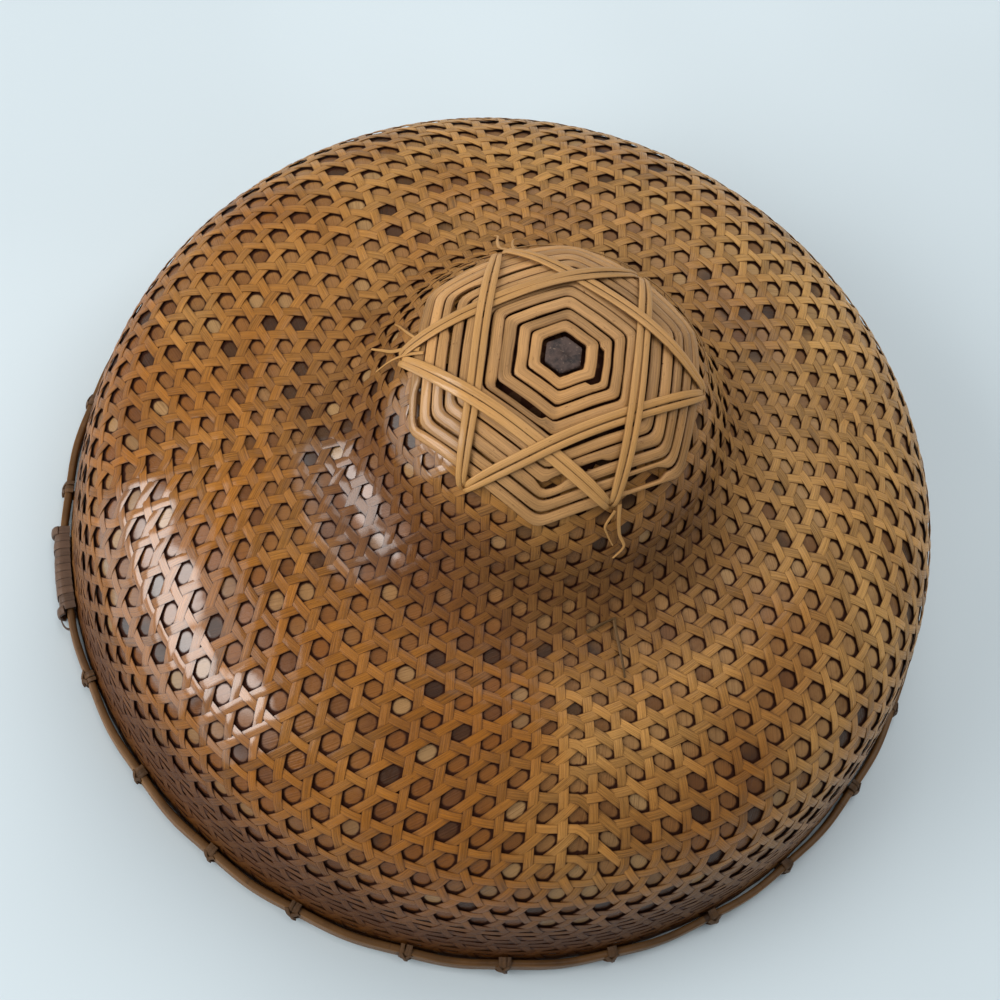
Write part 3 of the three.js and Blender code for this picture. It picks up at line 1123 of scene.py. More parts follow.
@dataclass
class HexagonalWeave:
    """Open three-way weave: a pyramid of four sectors that runs on as an upright wall.

    In each sector strands lie on an even triangular lattice. Rows count outwards from the
    crown. A strand of the pyramid runs straight across its own sector and its two neighbours
    and on down the wall, and each row past the pyramid is one closed hoop.
    """

    outline: HatOutline
    sectors: int = 4
    first_foot: float = math.radians(-19.2)
    pitch: float = LATTICE_PITCH
    rows: int = 21
    width: float = 4.0
    thickness: float = 0.38
    wave: float = 0.21
    middle: float = -0.4
    steps: int = 3
    cap_cover: float = 75.0
    hem: float = 1.0
    spread: float = 1.05
    sway: float = 0.35
    lean: float = 0.07
    rim_arcs: tuple[float, ...] = (268.0, 273.5, 279.0, 284.0, 289.0, 294.0, 299.0, 303.5)
    lattice_stations: tuple[float, ...] = (25.0, 58.0, 91.0, 156.0, 212.0, 248.0, 287.0, 327.0, 345.0)
    arc_stations: tuple[float, ...] = (0.5, 31.0, 62.0, 123.0, 176.0, 218.0, 262.0, 307.0, 327.0)

    def __post_init__(self) -> None:
        """Works out the lattice's row spacing, crossing spacing and pyramid height."""
        self.row_gap = self.pitch * math.sqrt(3) / 2
        self.crossing = self.pitch / 2
        self.side = self.rows * self.row_gap
        self.past = (self.spread - 1) * self.side
        self.end_arc = self.outline.length - self.hem

    def to_arc(self, reach: Array) -> Array:
        """Turns distance in the lattice into distance over the hat."""
        return smooth_through(np.array(self.lattice_stations), np.array(self.arc_stations), reach)

    def to_hat(self, x: Array, y: Array, foot: Array) -> tuple[Array, Array]:
        """Maps lattice places to the hat.

        Near the crown a sector is a wedge and places go by angle and distance from its tip.
        Towards the pyramid's foot they go over to position along and across the sector.

        Args:
            x: places along a sector's base.
            y: distances from its tip, square to the base.
            foot: azimuth of the middle of each place's sector.

        Returns:
            Distances over the hat and azimuths.
        """
        near = np.minimum(y, self.side)
        turn = smoothstep(0.75, 1.0, y / self.side)
        share = (1 - turn) * np.arctan2(x, y) / (math.pi / 6) + turn * math.sqrt(3) * x / near
        flatten = smoothstep(0.4, 1.0, y / self.side)
        inner = (1 - flatten) * np.hypot(x, y) + flatten * self.spread * y
        outer = self.spread * self.side + (y - self.side)
        reach = np.where(y < self.side, inner, outer)
        return self.to_arc(reach), foot + share * math.pi / self.sectors

    def to_reach(self, arc: Array, start: float, samples: int) -> Array:
        """Turns distance over the hat into distance in the lattice, by a table of samples.

        Args:
            arc: distances over the hat.
            start: a lattice distance short of all of them.
            samples: how many places the table has.

        Returns:
            Distances from the tip of a sector.
        """
        reach = np.linspace(start, self.lattice_stations[-1], samples)
        return np.interp(arc, self.to_arc(reach), reach) - self.past

    def lattice_end(self) -> float:
        """Finds the lattice distance at which the strands end, near the rim."""
        return float(self.to_reach(self.end_arc, 250.0, 500))

    def strand_path(self, sector: int, row: int, along: Array) -> tuple[Array, Array]:
        """Follows one strand of the pyramid over the hat.

        Within its own sector it lies at the row's distance from the tip. Past the sector's
        edge it is turned by 60 degrees into the neighbour's own axes.

        Args:
            sector: number of the strand's sector.
            row: number of its row.
            along: distances from the middle of its sector.

        Returns:
            Distances over the hat and azimuths.
        """
        reach = (row + 0.5) * self.row_gap
        side = np.sign(along)
        length = np.abs(along)
        own = length <= reach / math.sqrt(3)
        x = np.where(own, along, side * (length * 0.5 - reach * math.sin(SIXTH)))
        y = np.where(own, reach, length * math.sin(SIXTH) + reach * 0.5)
        foot = self.first_foot + QUARTER * (sector + np.where(own, 0.0, side))
        return self.to_hat(x, y, foot)

    def add_strip(
        self, into: MeshBuilder, arc: Array, azimuth: Array, wave: Array, seed: int, closed: bool = False
    ) -> None:
        """Adds one woven strip along a path over the hat.

        The strip lies in the weave's middle plus its over-and-under wave, square to the hat,
        and sways a little sideways.

        Args:
            into: the mesh that it joins.
            arc: distances over the hat.
            azimuth: angles round it.
            wave: -1 under to 1 over.
            seed: number that its unevenness is drawn from.
            closed: whether it is a hoop.
        """
        draw = np.random.default_rng(seed)
        base = self.outline.place(arc, azimuth, np.zeros_like(arc))
        ups = self.outline.normal(arc, azimuth)
        if closed:
            forward = unit(np.roll(base, -1, axis=0) - np.roll(base, 1, axis=0))
        else:
            forward = unit(np.gradient(base, axis=0))
        sides = unit(np.cross(ups, forward))
        sway = np.zeros_like(arc)
        if not closed:
            along = distances(base)
            sway = self.sway * Wobble(seed).at(along)
            ups = unit(ups + (self.lean * Wobble(seed + 7, 70.0).at(along))[:, None] * sides)
            sides = unit(np.cross(ups, forward))
        lift = self.middle + self.wave * wave + draw.uniform(-0.03, 0.03)
        centres = base + sides * sway[:, None] + ups * lift[:, None]
        section = crowned(self.width * draw.uniform(0.93, 1.06), self.thickness * draw.uniform(0.9, 1.1))
        depth = 0.5 - 0.5 * wave
        tone = np.stack([np.full_like(arc, draw.uniform()), depth, np.full_like(arc, draw.uniform())], axis=1)
        into.strip(centres, sides, ups, section, tone, closed, start=draw.uniform(0, 2000))

    def over_under(self, row: int, along: Array) -> Array:
        """Gives the weave's wave: over one crossing and under the next, flattened at the tops.

        Args:
            row: number of the strand's row.
            along: distances along the strand in the lattice.

        Returns:
            Values from -1, under, to 1, over.
        """
        swing = (-1) ** row * np.sin(math.pi * along / self.crossing)
        return swing * (1.45 - 0.45 * swing**2)

    def hoop_wave(self, along: Array, reach: Array) -> Array:
        """Gives the wave of a hoop at any height: against each slanting strand that it meets.

        For both slanting families the place is turned into distance across the rows and along
        the strand. The sine across the rows, times its own size, peaks at each strand, and the
        sine along the strand is that strand's own wave.

        Args:
            along: distances round the lattice.
            reach: distances from the tips, in the lattice.

        Returns:
            Values from -1, under, to 1, over.
        """
        total = np.zeros_like(along)
        for side in (-1, 1):
            across = np.sin(math.pi * (reach / 2 - side * along * math.sin(SIXTH)) / self.row_gap)
            down = np.sin(math.pi * (along / 2 + side * reach * math.sin(SIXTH)) / self.crossing)
            total = total - across * np.abs(across) * down
        return np.clip(total, -1, 1)

    def build_sector(self, sector: int, material: bpy.types.Material) -> bpy.types.Object:
        """Weaves the strands whose middles lie in one sector.

        Args:
            sector: number of the sector.
            material: the finish.

        Returns:
            The object.
        """
        mesh = MeshBuilder(f"woven_strands_{sector + 1}")
        end = self.lattice_end()
        for row in range(self.rows):
            reach = (row + 0.5) * self.row_gap
            far = (end - reach / 2) / math.sin(SIXTH)
            hidden = math.sqrt(max(self.cap_cover**2 - reach**2, 0.0))
            spans = [(-far, -hidden), (hidden, far)] if hidden > 0 else [(-far, far)]
            for number, (start, stop) in enumerate(spans):
                count = int((stop - start) / self.crossing * self.steps) + 1
                along = np.linspace(start, stop, count)
                arc, azimuth = self.strand_path(sector, row, along)
                seed = 1000 * (sector + 1) + 10 * row + number
                self.add_strip(mesh, arc, azimuth, self.over_under(row, along), seed)
        return mesh.build(material, "weave", ["woven_shell"], Edge.CRISP)

    def build_hoops(self, material: bpy.types.Material) -> bpy.types.Object:
        """Weaves the closed hoops of the wall and the tighter ones just above the rim.

        Args:
            material: the finish.

        Returns:
            The object.
        """
        mesh = MeshBuilder("woven_hoops")
        round_length = self.sectors * self.rows * self.pitch
        count = int(round_length / self.crossing * self.steps)
        along = np.arange(count) * round_length / count
        azimuth = self.first_foot + along / round_length * 2 * math.pi
        rows = np.arange(self.rows, int(self.lattice_end() / self.row_gap))
        arcs = self.to_arc((rows + 0.5) * self.row_gap + self.past)
        arcs = [*arcs[arcs < self.rim_arcs[0] - 5], *self.rim_arcs]
        for number, middle in enumerate(arcs):
            arc = middle + 0.4 * Wobble(7000 + number, longest=2 * math.pi, waves=3).at(azimuth)
            wave = self.hoop_wave(along, self.to_reach(arc, self.side + self.past, 400))
            self.add_strip(mesh, arc, azimuth, wave, 8000 + number, closed=True)
        return mesh.build(material, "weave", ["woven_shell"], Edge.CRISP)


@dataclass
class LeafLayer:
    """Sheets of dry leaf right under the weave."""

    weave: HexagonalWeave
    top: float = -1.35
    bottom: float = -2.15
    hem: float = 18.0
    around: int = 72
    down: int = 96
    first_reach: float = 25.0
    relief: float = 0.25

    def build(self, material: bpy.types.Material) -> bpy.types.Object:
        """Builds the layer as a thin wall with an outer and an inner face.

        Each sector is a grid in the weave's own lattice, mapped to the hat as the strands
        are, and its map keeps the lattice places. The outer face dips and rises by two
        crossed sine waves that stand for the waviness of the sheets. The two faces meet at
        the hem, and vertices that coincide at the top and between sectors are welded.

        Args:
            material: the finish.

        Returns:
            The object.
        """
        mesh = MeshBuilder("leaf_sheets")
        weave = self.weave
        outline = weave.outline
        end = float(weave.to_reach(outline.length - self.hem, weave.side + weave.past, 300))
        down = np.linspace(self.first_reach, end, self.down)
        y, share = np.meshgrid(down, np.linspace(-1, 1, self.around + 1), indexing="ij")
        x = share * np.minimum(y, weave.side) * math.tan(SIXTH / 2)
        rows, columns = y.shape
        sheet = grid_faces(rows, columns, False, False)[:, FLIPPED]
        skin = rows * columns
        low = (rows - 1) * columns + np.arange(columns - 1)
        edge = np.stack([low, skin + low, skin + low + 1, low + 1], axis=-1)
        quads = np.concatenate([sheet, sheet[:, ::-1] + skin, edge])
        places = np.stack([x, y], axis=-1).reshape(-1, 2)
        faces = np.repeat([[1.0] * 3, [0.0] * 3], skin, axis=0)
        for sector in range(weave.sectors):
            foot = np.full_like(x, weave.first_foot + QUARTER * sector)
            arc, turn = weave.to_hat(x, y, foot)
            arc[0] = 0.0
            ripple = np.sin(turn * 20 + 0.06 * arc) * np.sin(arc * 0.21 + 3 * np.sin(turn * 4))
            ripple = ripple + 0.6 * np.sin(turn * 40 + 0.11 * arc) * np.sin(arc * 0.34)
            lift = self.top - self.relief * (0.5 + 0.3 * ripple) * smoothstep(0, 20, arc)
            outer = outline.place(arc, turn, lift)
            inner = outline.place(arc, turn, np.full_like(arc, self.bottom))
            points = np.concatenate([outer.reshape(-1, 3), inner.reshape(-1, 3)])
            maps = np.concatenate([places, places])
            mesh.add(points, quads, np.empty((0, 3)), maps, faces)
        return mesh.build(material, "leaf", ["leaf_layer"], Edge.SOFT, weld=True)


@dataclass
class SplintCap:
    """The crown's cap: a plug, hexagonal turns of wide splint and a woven star over them."""

    outline: HatOutline
    lift: float = 0.9
    thickness: float = 1.9
    width: float = 4.55
    ring_count: int = 10
    ring_pitch: float = 5.2
    first_apothem: float = 10.6
    corner: float = math.radians(43)
    fold: float = 40.0
    strap_width: float = 2.95
    strap_gap: float = 0.25
    strap_thickness: float = 0.75
    strap_lift: float = 4.15
    strap_wave: float = 0.62
    strap_steps: int = 41
    plug_apothem: float = 6.8
    plug_corners: int = 48
    plug_rise: float = 1.0
    plug_roughness: float = 0.16
    notch_fade: float = 5.0
    crease_depth: float = 0.3
    plug_profile: tuple[tuple[float, float], ...] = (
        # share of the hexagon, lift
        (0.25, 0.5),
        (0.5, 0.45),
        (0.75, 0.4),
        (0.92, 0.2),
        (1.0, -0.2),
        (1.0, -1.8),
        (0.6, -1.8),
    )
    notches: tuple[tuple[int, float, float, float, float], ...] = (
        # ring, from and to in degrees, share of the width lost, shift outwards
        (4, -138, -84, 0.42, 1.1),
        (5, 112, 174, 0.32, -0.8),
        (2, -34, 36, 0.38, 1.0),
        (7, -78, -44, 0.3, -0.7),
        (8, -82, -66, 0.3, 0.8),
        (9, -46, -19, 0.55, -1.0),
        (10, -46, -21, 0.6, 1.0),
        (8, 150, 186, 0.25, 0.6),
        (10, 205, 226, 0.3, 0.8),
    )
    star_tips: tuple[tuple[float, float], ...] = (
        # azimuth in degrees, distance from the star's middle
        (16.4, 65.0),
        (71.6, 61.0),
        (130.6, 62.3),
        (193.1, 66.9),
        (253.8, 64.7),
        (312.3, 62.4),
    )

    def ring(self, number: int, material: bpy.types.Material) -> bpy.types.Object:
        """Builds one hexagonal turn as a closed loop of folded splint.

        In plan the distance from the middle is the turn's apothem, plus the place across the
        splint, over a soft maximum of the cosines to the six sides. Each side has its own
        width, shift, rise and lean, shared out by the same cosines to a high power, so that
        they change over within a few degrees of a corner.

        Args:
            number: the ring's number, from 0 at the middle.
            material: the finish.

        Returns:
            The object.
        """
        mesh = MeshBuilder(f"ring_turn_{number + 1:02d}")
        draw = np.random.default_rng(300 + number)
        steps = 6 * (14 + 2 * number)
        turn = self.corner + (np.arange(steps) + 0.5) * 2 * math.pi / steps
        sides = self.corner + SIXTH / 2 + SIXTH * np.arange(6)
        near = np.maximum(np.cos(turn[:, None] - sides[None]), 0.0) ** self.fold
        share = near / near.sum(axis=1, keepdims=True)
        hexagon = near.sum(axis=1) ** (1 / self.fold)
        width = self.width * (share @ draw.uniform(0.88, 1.07, 6))
        shift = share @ draw.uniform(-0.3, 0.3, 6)
        rise = share @ draw.uniform(-0.22, 0.22, 6) + 0.12 * Wobble(340 + number, 2.1, 3).at(turn)
        lean = share @ draw.uniform(-0.1, 0.28, 6)
        degrees = np.degrees(turn)
        for ring, start, stop, lost, outwards in self.notches:
            if ring == number + 1:
                inside = np.mod(degrees - start, 360)
                end = stop - start
                depth = smoothstep(0, self.notch_fade, inside)
                depth = depth * smoothstep(end, end - self.notch_fade, inside)
                width = width * (1 - lost * depth)
                shift = shift + outwards * depth
        section = domed(1.0, self.thickness * 0.72)
        apothem = self.first_apothem + number * self.ring_pitch
        away = apothem + shift[:, None] + section[None, :, 0] * width[:, None]
        away = (away + 0.12 * Wobble(370 + number, 1.3, 3).at(turn)[:, None]) / hexagon[:, None]
        corner = np.abs(np.mod(turn - self.corner + SIXTH / 2, SIXTH) - SIXTH / 2)
        crease = np.exp(-((corner / math.radians(60 / (apothem + 20))) ** 2))
        lift = self.lift + self.thickness * 0.62 + rise - self.crease_depth * crease
        lift = lift[:, None] + section[None, :, 1] + lean[:, None] * section[None, :, 0] * 2
        x = CAP_MIDDLE[0] + away * np.cos(turn)[:, None]
        y = CAP_MIDDLE[1] + away * np.sin(turn)[:, None]
        points = self.outline.drape(x, y, lift)
        along = draw.uniform(0, 900) + turn * apothem
        strip_map = np.stack(np.broadcast_arrays(along[:, None], section[None, :, 0] * 2), axis=-1)
        folds = 0.3 + 0.7 * crease
        tone = np.stack([share @ draw.uniform(0, 1, 6), folds, np.full(steps, draw.uniform())], axis=1)
        tones = np.broadcast_to(tone[:, None], points.shape)
        mesh.grid(points[:, ::-1], strip_map[:, ::-1], tones, closed=True, caps=False)
        return mesh.build(material, "cap_splint", [f"cap_ring_{number + 1:02d}"], Edge.SOFT)

    def strap(self, number: int, material: bpy.types.Material) -> bpy.types.Object:
        """Builds one doubled strap of the star.

        In plan both splints run straight between two tips of the star and close up at them.
        The lift follows a sine that is high where the strap crosses the one before it and low
        where it crosses the next, and falls to the weave at both ends.

        Args:
            number: the strap's number, from 0.
            material: the finish.

        Returns:
            The object.
        """
        mesh = MeshBuilder(f"star_splints_{number + 1}")
        tips = np.array([self.star_tips[place % len(self.star_tips)] for place in (number, number + 2)])
        ends = polar(tips[:, 1], np.radians(tips[:, 0]), 0.0)[:, :2]
        middle = ends.mean(axis=0) + STAR_MIDDLE
        half_way = (ends[1] - ends[0]) / 2
        outward = np.array([half_way[1], -half_way[0]]) / np.linalg.norm(half_way)
        for half in (-1, 1):
            seed = 600 + 10 * number + half
            draw = np.random.default_rng(seed)
            width = self.strap_width * draw.uniform(0.86, 1.06)
            section = domed(width, self.strap_thickness)
            share = np.linspace(-1, 1, self.strap_steps)[:, None]
            offset = half * (self.strap_width + self.strap_gap) / 2
            sway = 0.35 * Wobble(seed, 1.9, 2).at(share)
            taper = 1 - 0.55 * share**8
            away = offset * taper + section[None, :, 0] * (1 - 0.3 * share**8) + sway * (1 - share**4)
            fall = smoothstep(0.93, 1.0, np.abs(share))
            wave = -self.strap_wave * np.sin(1.5 * math.pi * share) * (1 - share**4)
            level = self.strap_lift + wave + draw.uniform(-0.08, 0.08)
            lift = level * (1 - fall) + self.lift * fall + section[None, :, 1]
            plan = middle + share[..., None] * half_way * (1 + 0.01 * half) + away[..., None] * outward
            points = self.outline.drape(plan[..., 0], plan[..., 1], lift)
            along = draw.uniform(0, 900) + share * np.linalg.norm(half_way)
            strip_map = np.stack(np.broadcast_arrays(along, section[None, :, 0] / width * 2), axis=-1)
            tones = np.broadcast_to(np.array([draw.uniform(), 0.2, draw.uniform()]), points.shape)
            mesh.grid(points[:, ::-1], strip_map[:, ::-1], tones, closed=False, caps=True)
        return mesh.build(material, "star_splint", [f"star_strap_{number + 1}"], Edge.SOFT)

    def plug(self, material: bpy.types.Material) -> bpy.types.Object:
        """Builds the stub in the middle: a hexagonal lump with a rough, low top.

        The top is a polar grid. Its radius follows a hexagon, and its lift a ripple of
        seeded sines.

        Args:
            material: the finish.

        Returns:
            The object.
        """
        mesh = MeshBuilder("crown_plug")
        turns = np.arange(self.plug_corners) * 2 * math.pi / self.plug_corners
        rings, lifts = np.array(self.plug_profile).T[:, :, None]
        hexagon = self.plug_apothem / np.cos(np.mod(turns - self.corner, SIXTH) - SIXTH / 2)
        radius = rings * hexagon[None]
        rough = np.sin(9 * turns[None] + 5 * rings) + np.sin(23 * turns[None] - 31 * rings)
        lift = self.lift + self.plug_rise + lifts + self.plug_roughness * rough * (lifts > 0)
        x, y = CAP_MIDDLE
        grid = self.outline.drape(x + radius * np.cos(turns), y + radius * np.sin(turns), lift)
        poles = self.outline.drape(np.full(2, x), np.full(2, y), np.array([lift[0, 0] + 0.1, lift[-1, 0]]))
        points = np.concatenate([grid.reshape(-1, 3), poles])
        rows, columns = radius.shape
        quads = grid_faces(rows, columns, False, True)[:, FLIPPED]
        ring = np.arange(columns)
        following = (ring + 1) % columns
        top = np.stack([np.full(columns, rows * columns), ring, following], axis=-1)
        low = (rows - 1) * columns
        bottom = np.stack([np.full(columns, rows * columns + 1), low + following, low + ring], axis=-1)
        flat = points[:, :2]
        mesh.add(points, quads, np.concatenate([top, bottom]), flat, np.full((len(points), 3), 0.5))
        return mesh.build(material, "plug", ["cap_plug"], Edge.SOFT)


@dataclass
class BoundRim:
    """Two split-bamboo hoops, the lashings that bind them to the weave, and the joint's coil."""

    radius: float = 201.0
    thickness: float = 3.3
    height: float = 8.8
    foot: float = 1.2
    bow: float = 0.7
    inner_radius: float = 194.3
    inner_thickness: float = 2.6
    inner_height: float = 7.8
    bays: int = 27
    first_lashing: float = math.radians(-2.8)
    unevenness: float = math.radians(0.7)
    wrap_bay: int = 11
    wrap_azimuth: float = math.radians(-151.5)
    wrap_length: float = 40.0
    wrap_turns: int = 11
    weave_outside: float = 197.2
    weave_inside: float = 194.6
    turn_width: float = 1.9
    turn_thickness: float = 0.55
    turn_pitch: float = 1.4
    hoop_steps: int = 540
    hoop_squareness: float = 0.42
    coil_lift: float = 3.0

    def bend(self, radial: Array, height: Array, along: Array, azimuth: float) -> Array:
        """Bends places round the rim.

        Args:
            radial: distances from the upright axis.
            height: heights above the floor.
            along: distances along the rim.
            azimuth: where along starts.

        Returns:
            Positions in millimetres.
        """
        return polar(radial, azimuth + along / self.radius, height)

    def hoop(
        self,
        name: str,
        node: str,
        outside: float,
        thickness: float,
        height: float,
        bow: float,
        material: bpy.types.Material,
    ) -> bpy.types.Object:
        """Builds one hoop: a rounded strip carried round the rim.

        Its radius swells between the lashings by a squared sine, and each bamboo node is a
        low ridge.

        Args:
            name: the object's name.
            node: the frame's node that it stands for.
            outside: its outer radius.
            thickness: its thickness.
            height: its height.
            bow: how far it swells between lashings.
            material: the finish.

        Returns:
            The object.
        """
        mesh = MeshBuilder(name)
        turns = np.arange(self.hoop_steps) * 2 * math.pi / self.hoop_steps
        swell = bow * np.sin((turns - self.first_lashing) * self.bays / 2) ** 2
        ridge = np.exp(-((np.mod(turns * 5 + 0.6, 2 * math.pi) - math.pi) / 0.09) ** 2)
        middle = outside - thickness / 2 + swell
        level = self.foot + height / 2 + 0.15 * np.sin(9 * turns + 1)
        centres = polar(middle, turns, level)
        outward = polar(1.0, turns, 0.0)
        upward = np.broadcast_to([0.0, 0.0, 1.0], outward.shape)
        section = rounded(height, thickness, 16, self.hoop_squareness)
        sections = section[None] * (1 + 0.05 * ridge[:, None, None])
        bound = np.cos((turns - self.first_lashing) * self.bays / 2) ** 2
        worn = 0.5 + 0.3 * np.sin(3 * turns + 2)
        tone = np.stack([worn, 0.5 * ridge + 0.9 * bound**24, np.full_like(turns, 0.3)], axis=1)
        mesh.strip(centres, upward, outward, sections, tone, closed=True)
        return mesh.build(material, "hoop", [node], Edge.SOFT)

    def clip_path(self, outer: float) -> Array:
        """Gives the way of one turn of binding, in radius and height.

        It leaves the weave over the outer hoop, goes down its outside, under both hoops, up
        the inside and back over the inner hoop to the weave.

        Args:
            outer: distance of the turn's middle outside the outer hoop.

        Returns:
            Points in radius and height, shape (n, 2).
        """
        top = self.foot + self.height
        inner_top = self.foot + self.inner_height
        outside = self.radius + outer
        inside = self.inner_radius - self.inner_thickness - 0.45
        corners = np.array(
            [
                [self.weave_outside, top + 0.9],
                [outside - 1.6, top + 0.6],
                [outside - 0.4, top - 0.6],
                [outside, top - 3.0],
                [outside + 0.1, self.foot + 2.8],
                [outside - 0.4, self.foot + 0.5],
                [outside - 2.2, 0.85],
                [(outside + inside) / 2, 0.8],
                [inside + 1.6, 0.85],
                [inside + 0.2, self.foot + 0.8],
                [inside, self.foot + 3.0],
                [inside + 0.2, inner_top - 1.0],
                [inside + 1.2, inner_top + 0.5],
                [self.weave_inside, inner_top + 0.7],
            ]
        )
        return resample(corners, 34)

    def add_turn(
        self,
        mesh: MeshBuilder,
        azimuth: float,
        along: tuple[float, float],
        outer: float,
        width: float,
        seed: int,
    ) -> None:
        """Adds one turn of splint round both hoops.

        Args:
            mesh: the mesh that it joins.
            azimuth: the binding's azimuth.
            along: places along the rim where the turn starts and ends.
            outer: distance of its middle outside the outer hoop.
            width: the splint's width.
            seed: number that its tone is drawn from.
        """
        draw = np.random.default_rng(seed)
        path = self.clip_path(outer)
        slide = np.linspace(along[0], along[1], len(path))
        centres = self.bend(path[:, 0], path[:, 1], slide, azimuth)
        sides, ups = frame_across(centres, polar(1.0, azimuth + slide / self.radius + QUARTER, 0.0))
        tone = np.array([draw.uniform(), draw.uniform(0.2, 0.6), draw.uniform()])
        section = rounded(width, self.turn_thickness, 8)
        mesh.strip(centres, sides, ups, section, tone, start=draw.uniform(0, 900))

    def add_knot(self, mesh: MeshBuilder, azimuth: float, seed: int, size: float) -> None:
        """Adds a knot on the outside of the hoop: two crossed wraps and a cut end.

        Each wrap is an arch over the turns, given by a few places along the rim, out from
        the hoop and up.

        Args:
            mesh: the mesh that it joins.
            azimuth: the knot's azimuth.
            seed: number that its unevenness is drawn from.
            size: its size, 1 for the usual one.
        """
        draw = np.random.default_rng(seed)
        outside = self.radius + 0.4
        lean = draw.uniform(-0.5, 0.5)
        arches = (
            # along the rim, out from the hoop, height
            ((-3.0, -0.6, 9.4), (-1.7, 0.5, 8.0), (0.0, 1.2, 6.2), (1.6, 0.8, 4.4), (2.8, -0.4, 3.0)),
            ((3.0, -0.5, 9.2), (1.5, 0.4, 7.9), (0.1, 1.0, 6.4 + lean), (-1.5, 0.7, 4.6), (-2.7, -0.4, 3.4)),
            ((0.2, 1.0, 5.8), (0.6 + lean, 1.35, 4.6), (1.2 + lean, 1.3, 3.4), (1.9 + lean, 1.0, 2.3)),
        )
        for number, arch in enumerate(arches):
            path = resample(np.array(arch), 12)
            centres = self.bend(outside + size * path[:, 1], path[:, 2], size * path[:, 0], azimuth)
            sides, ups = frame_facing(centres, polar(1.0, azimuth, 0.15))
            cut_end = number == 2
            tone = np.array([1.2 if cut_end else draw.uniform(), 0.0 if cut_end else 0.4, draw.uniform()])
            section = rounded((1.6 if cut_end else 2.3) * size, 0.9 * size, 8)
            mesh.strip(centres, sides, ups, section, tone, start=draw.uniform(0, 900))

    def lashing(self, bay: int, number: int, material: bpy.types.Material) -> bpy.types.Object:
        """Builds one lashing: three turns and a knot.

        Args:
            bay: which bay of the rim it ends.
            number: the frame's number for it, from 1.
            material: the finish.

        Returns:
            The object.
        """
        mesh = MeshBuilder(f"rim_binding_{number:02d}")
        draw = np.random.default_rng(900 + bay)
        azimuth = self.first_lashing - bay * 2 * math.pi / self.bays + self.unevenness * math.sin(2.4 * bay)
        for turn in range(3):
            middle = (turn - 1) * self.turn_pitch
            slant = draw.uniform(-0.7, 0.7)
            along = (middle - slant, middle + slant)
            self.add_turn(mesh, azimuth, along, 0.35, self.turn_width, 1000 + 10 * bay + turn)
        beside = draw.uniform(-0.6, 0.6) / self.radius
        self.add_knot(mesh, azimuth + beside, 1500 + bay, draw.uniform(0.8, 1.05))
        return mesh.build(material, "lashing", [f"rim_lashing_{number:02d}"], Edge.SOFT)

    def joint_coil(self, material: bpy.types.Material) -> bpy.types.Object:
        """Builds the coil over the hoop's joint: side-by-side turns, a knob at each end and a loop.

        The turns stand further out than a lashing's, because the hoop's ends overlap there.

        Args:
            material: the finish.

        Returns:
            The object.
        """
        mesh = MeshBuilder("joint_coil")
        pitch = self.wrap_length / self.wrap_turns
        for turn in range(self.wrap_turns):
            draw = np.random.default_rng(2000 + turn)
            middle = (turn + 0.5) * pitch - self.wrap_length / 2
            slant = 0.35 * pitch
            outer = self.coil_lift + draw.uniform(-0.35, 0.3)
            along = (middle - slant, middle + slant)
            self.add_turn(mesh, self.wrap_azimuth, along, outer, pitch * 1.02, 2000 + turn)
        for end in (-1, 1):
            azimuth = self.wrap_azimuth + end * (self.wrap_length / 2 - 1.0) / self.radius
            self.add_knob(mesh, azimuth, 2100 + end)
        self.add_loop(mesh)
        return mesh.build(material, "joint_wrap", ["hoop_joint_wrap"], Edge.SOFT)

    def add_knob(self, mesh: MeshBuilder, azimuth: float, seed: int) -> None:
        """Adds the fat last turn at an end of the coil.

        Args:
            mesh: the mesh that it joins.
            azimuth: the knob's azimuth.
            seed: number that its tone is drawn from.
        """
        draw = np.random.default_rng(seed)
        angle = np.linspace(0.1, math.pi - 0.1, 14)
        radial = self.radius + 1.0 + 2.7 * np.sin(angle)
        height = 6.0 + 4.6 * np.cos(angle)
        centres = self.bend(radial, height, np.zeros_like(angle), azimuth)
        sides, ups = frame_across(centres, polar(1.0, azimuth + QUARTER, 0.0))
        tone = np.array([draw.uniform(0.5, 0.9), 0.1, draw.uniform()])
        mesh.strip(centres, sides, ups, rounded(4.2, 2.0, 10), tone)

    def add_loop(self, mesh: MeshBuilder) -> None:
        """Adds the small loop of splint that leaves the coil's lower end.

        Args:
            mesh: the mesh that it joins.
        """
        start = self.wrap_length / 2 - 1
        table = np.array(
            [
                # along the rim, radius, height
                [start, self.radius + 3.2, 5.6],
                [start + 3.0, self.radius + 3.3, 5.4],
                [start + 6.0, self.radius + 2.6, 5.6],
                [start + 7.6, self.radius + 1.4, 6.0],
                [start + 8.0, self.radius + 0.5, 6.4],
            ]
        )
        path = resample(table, 16)
        centres = self.bend(path[:, 1], path[:, 2], path[:, 0], self.wrap_azimuth)
        sides, ups = frame_across(centres, np.array([0.0, 0.0, 1.0]))
        mesh.strip(centres, sides, ups, rounded(2.6, 0.6, 8), np.array([0.3, 0.3, 0.4]))


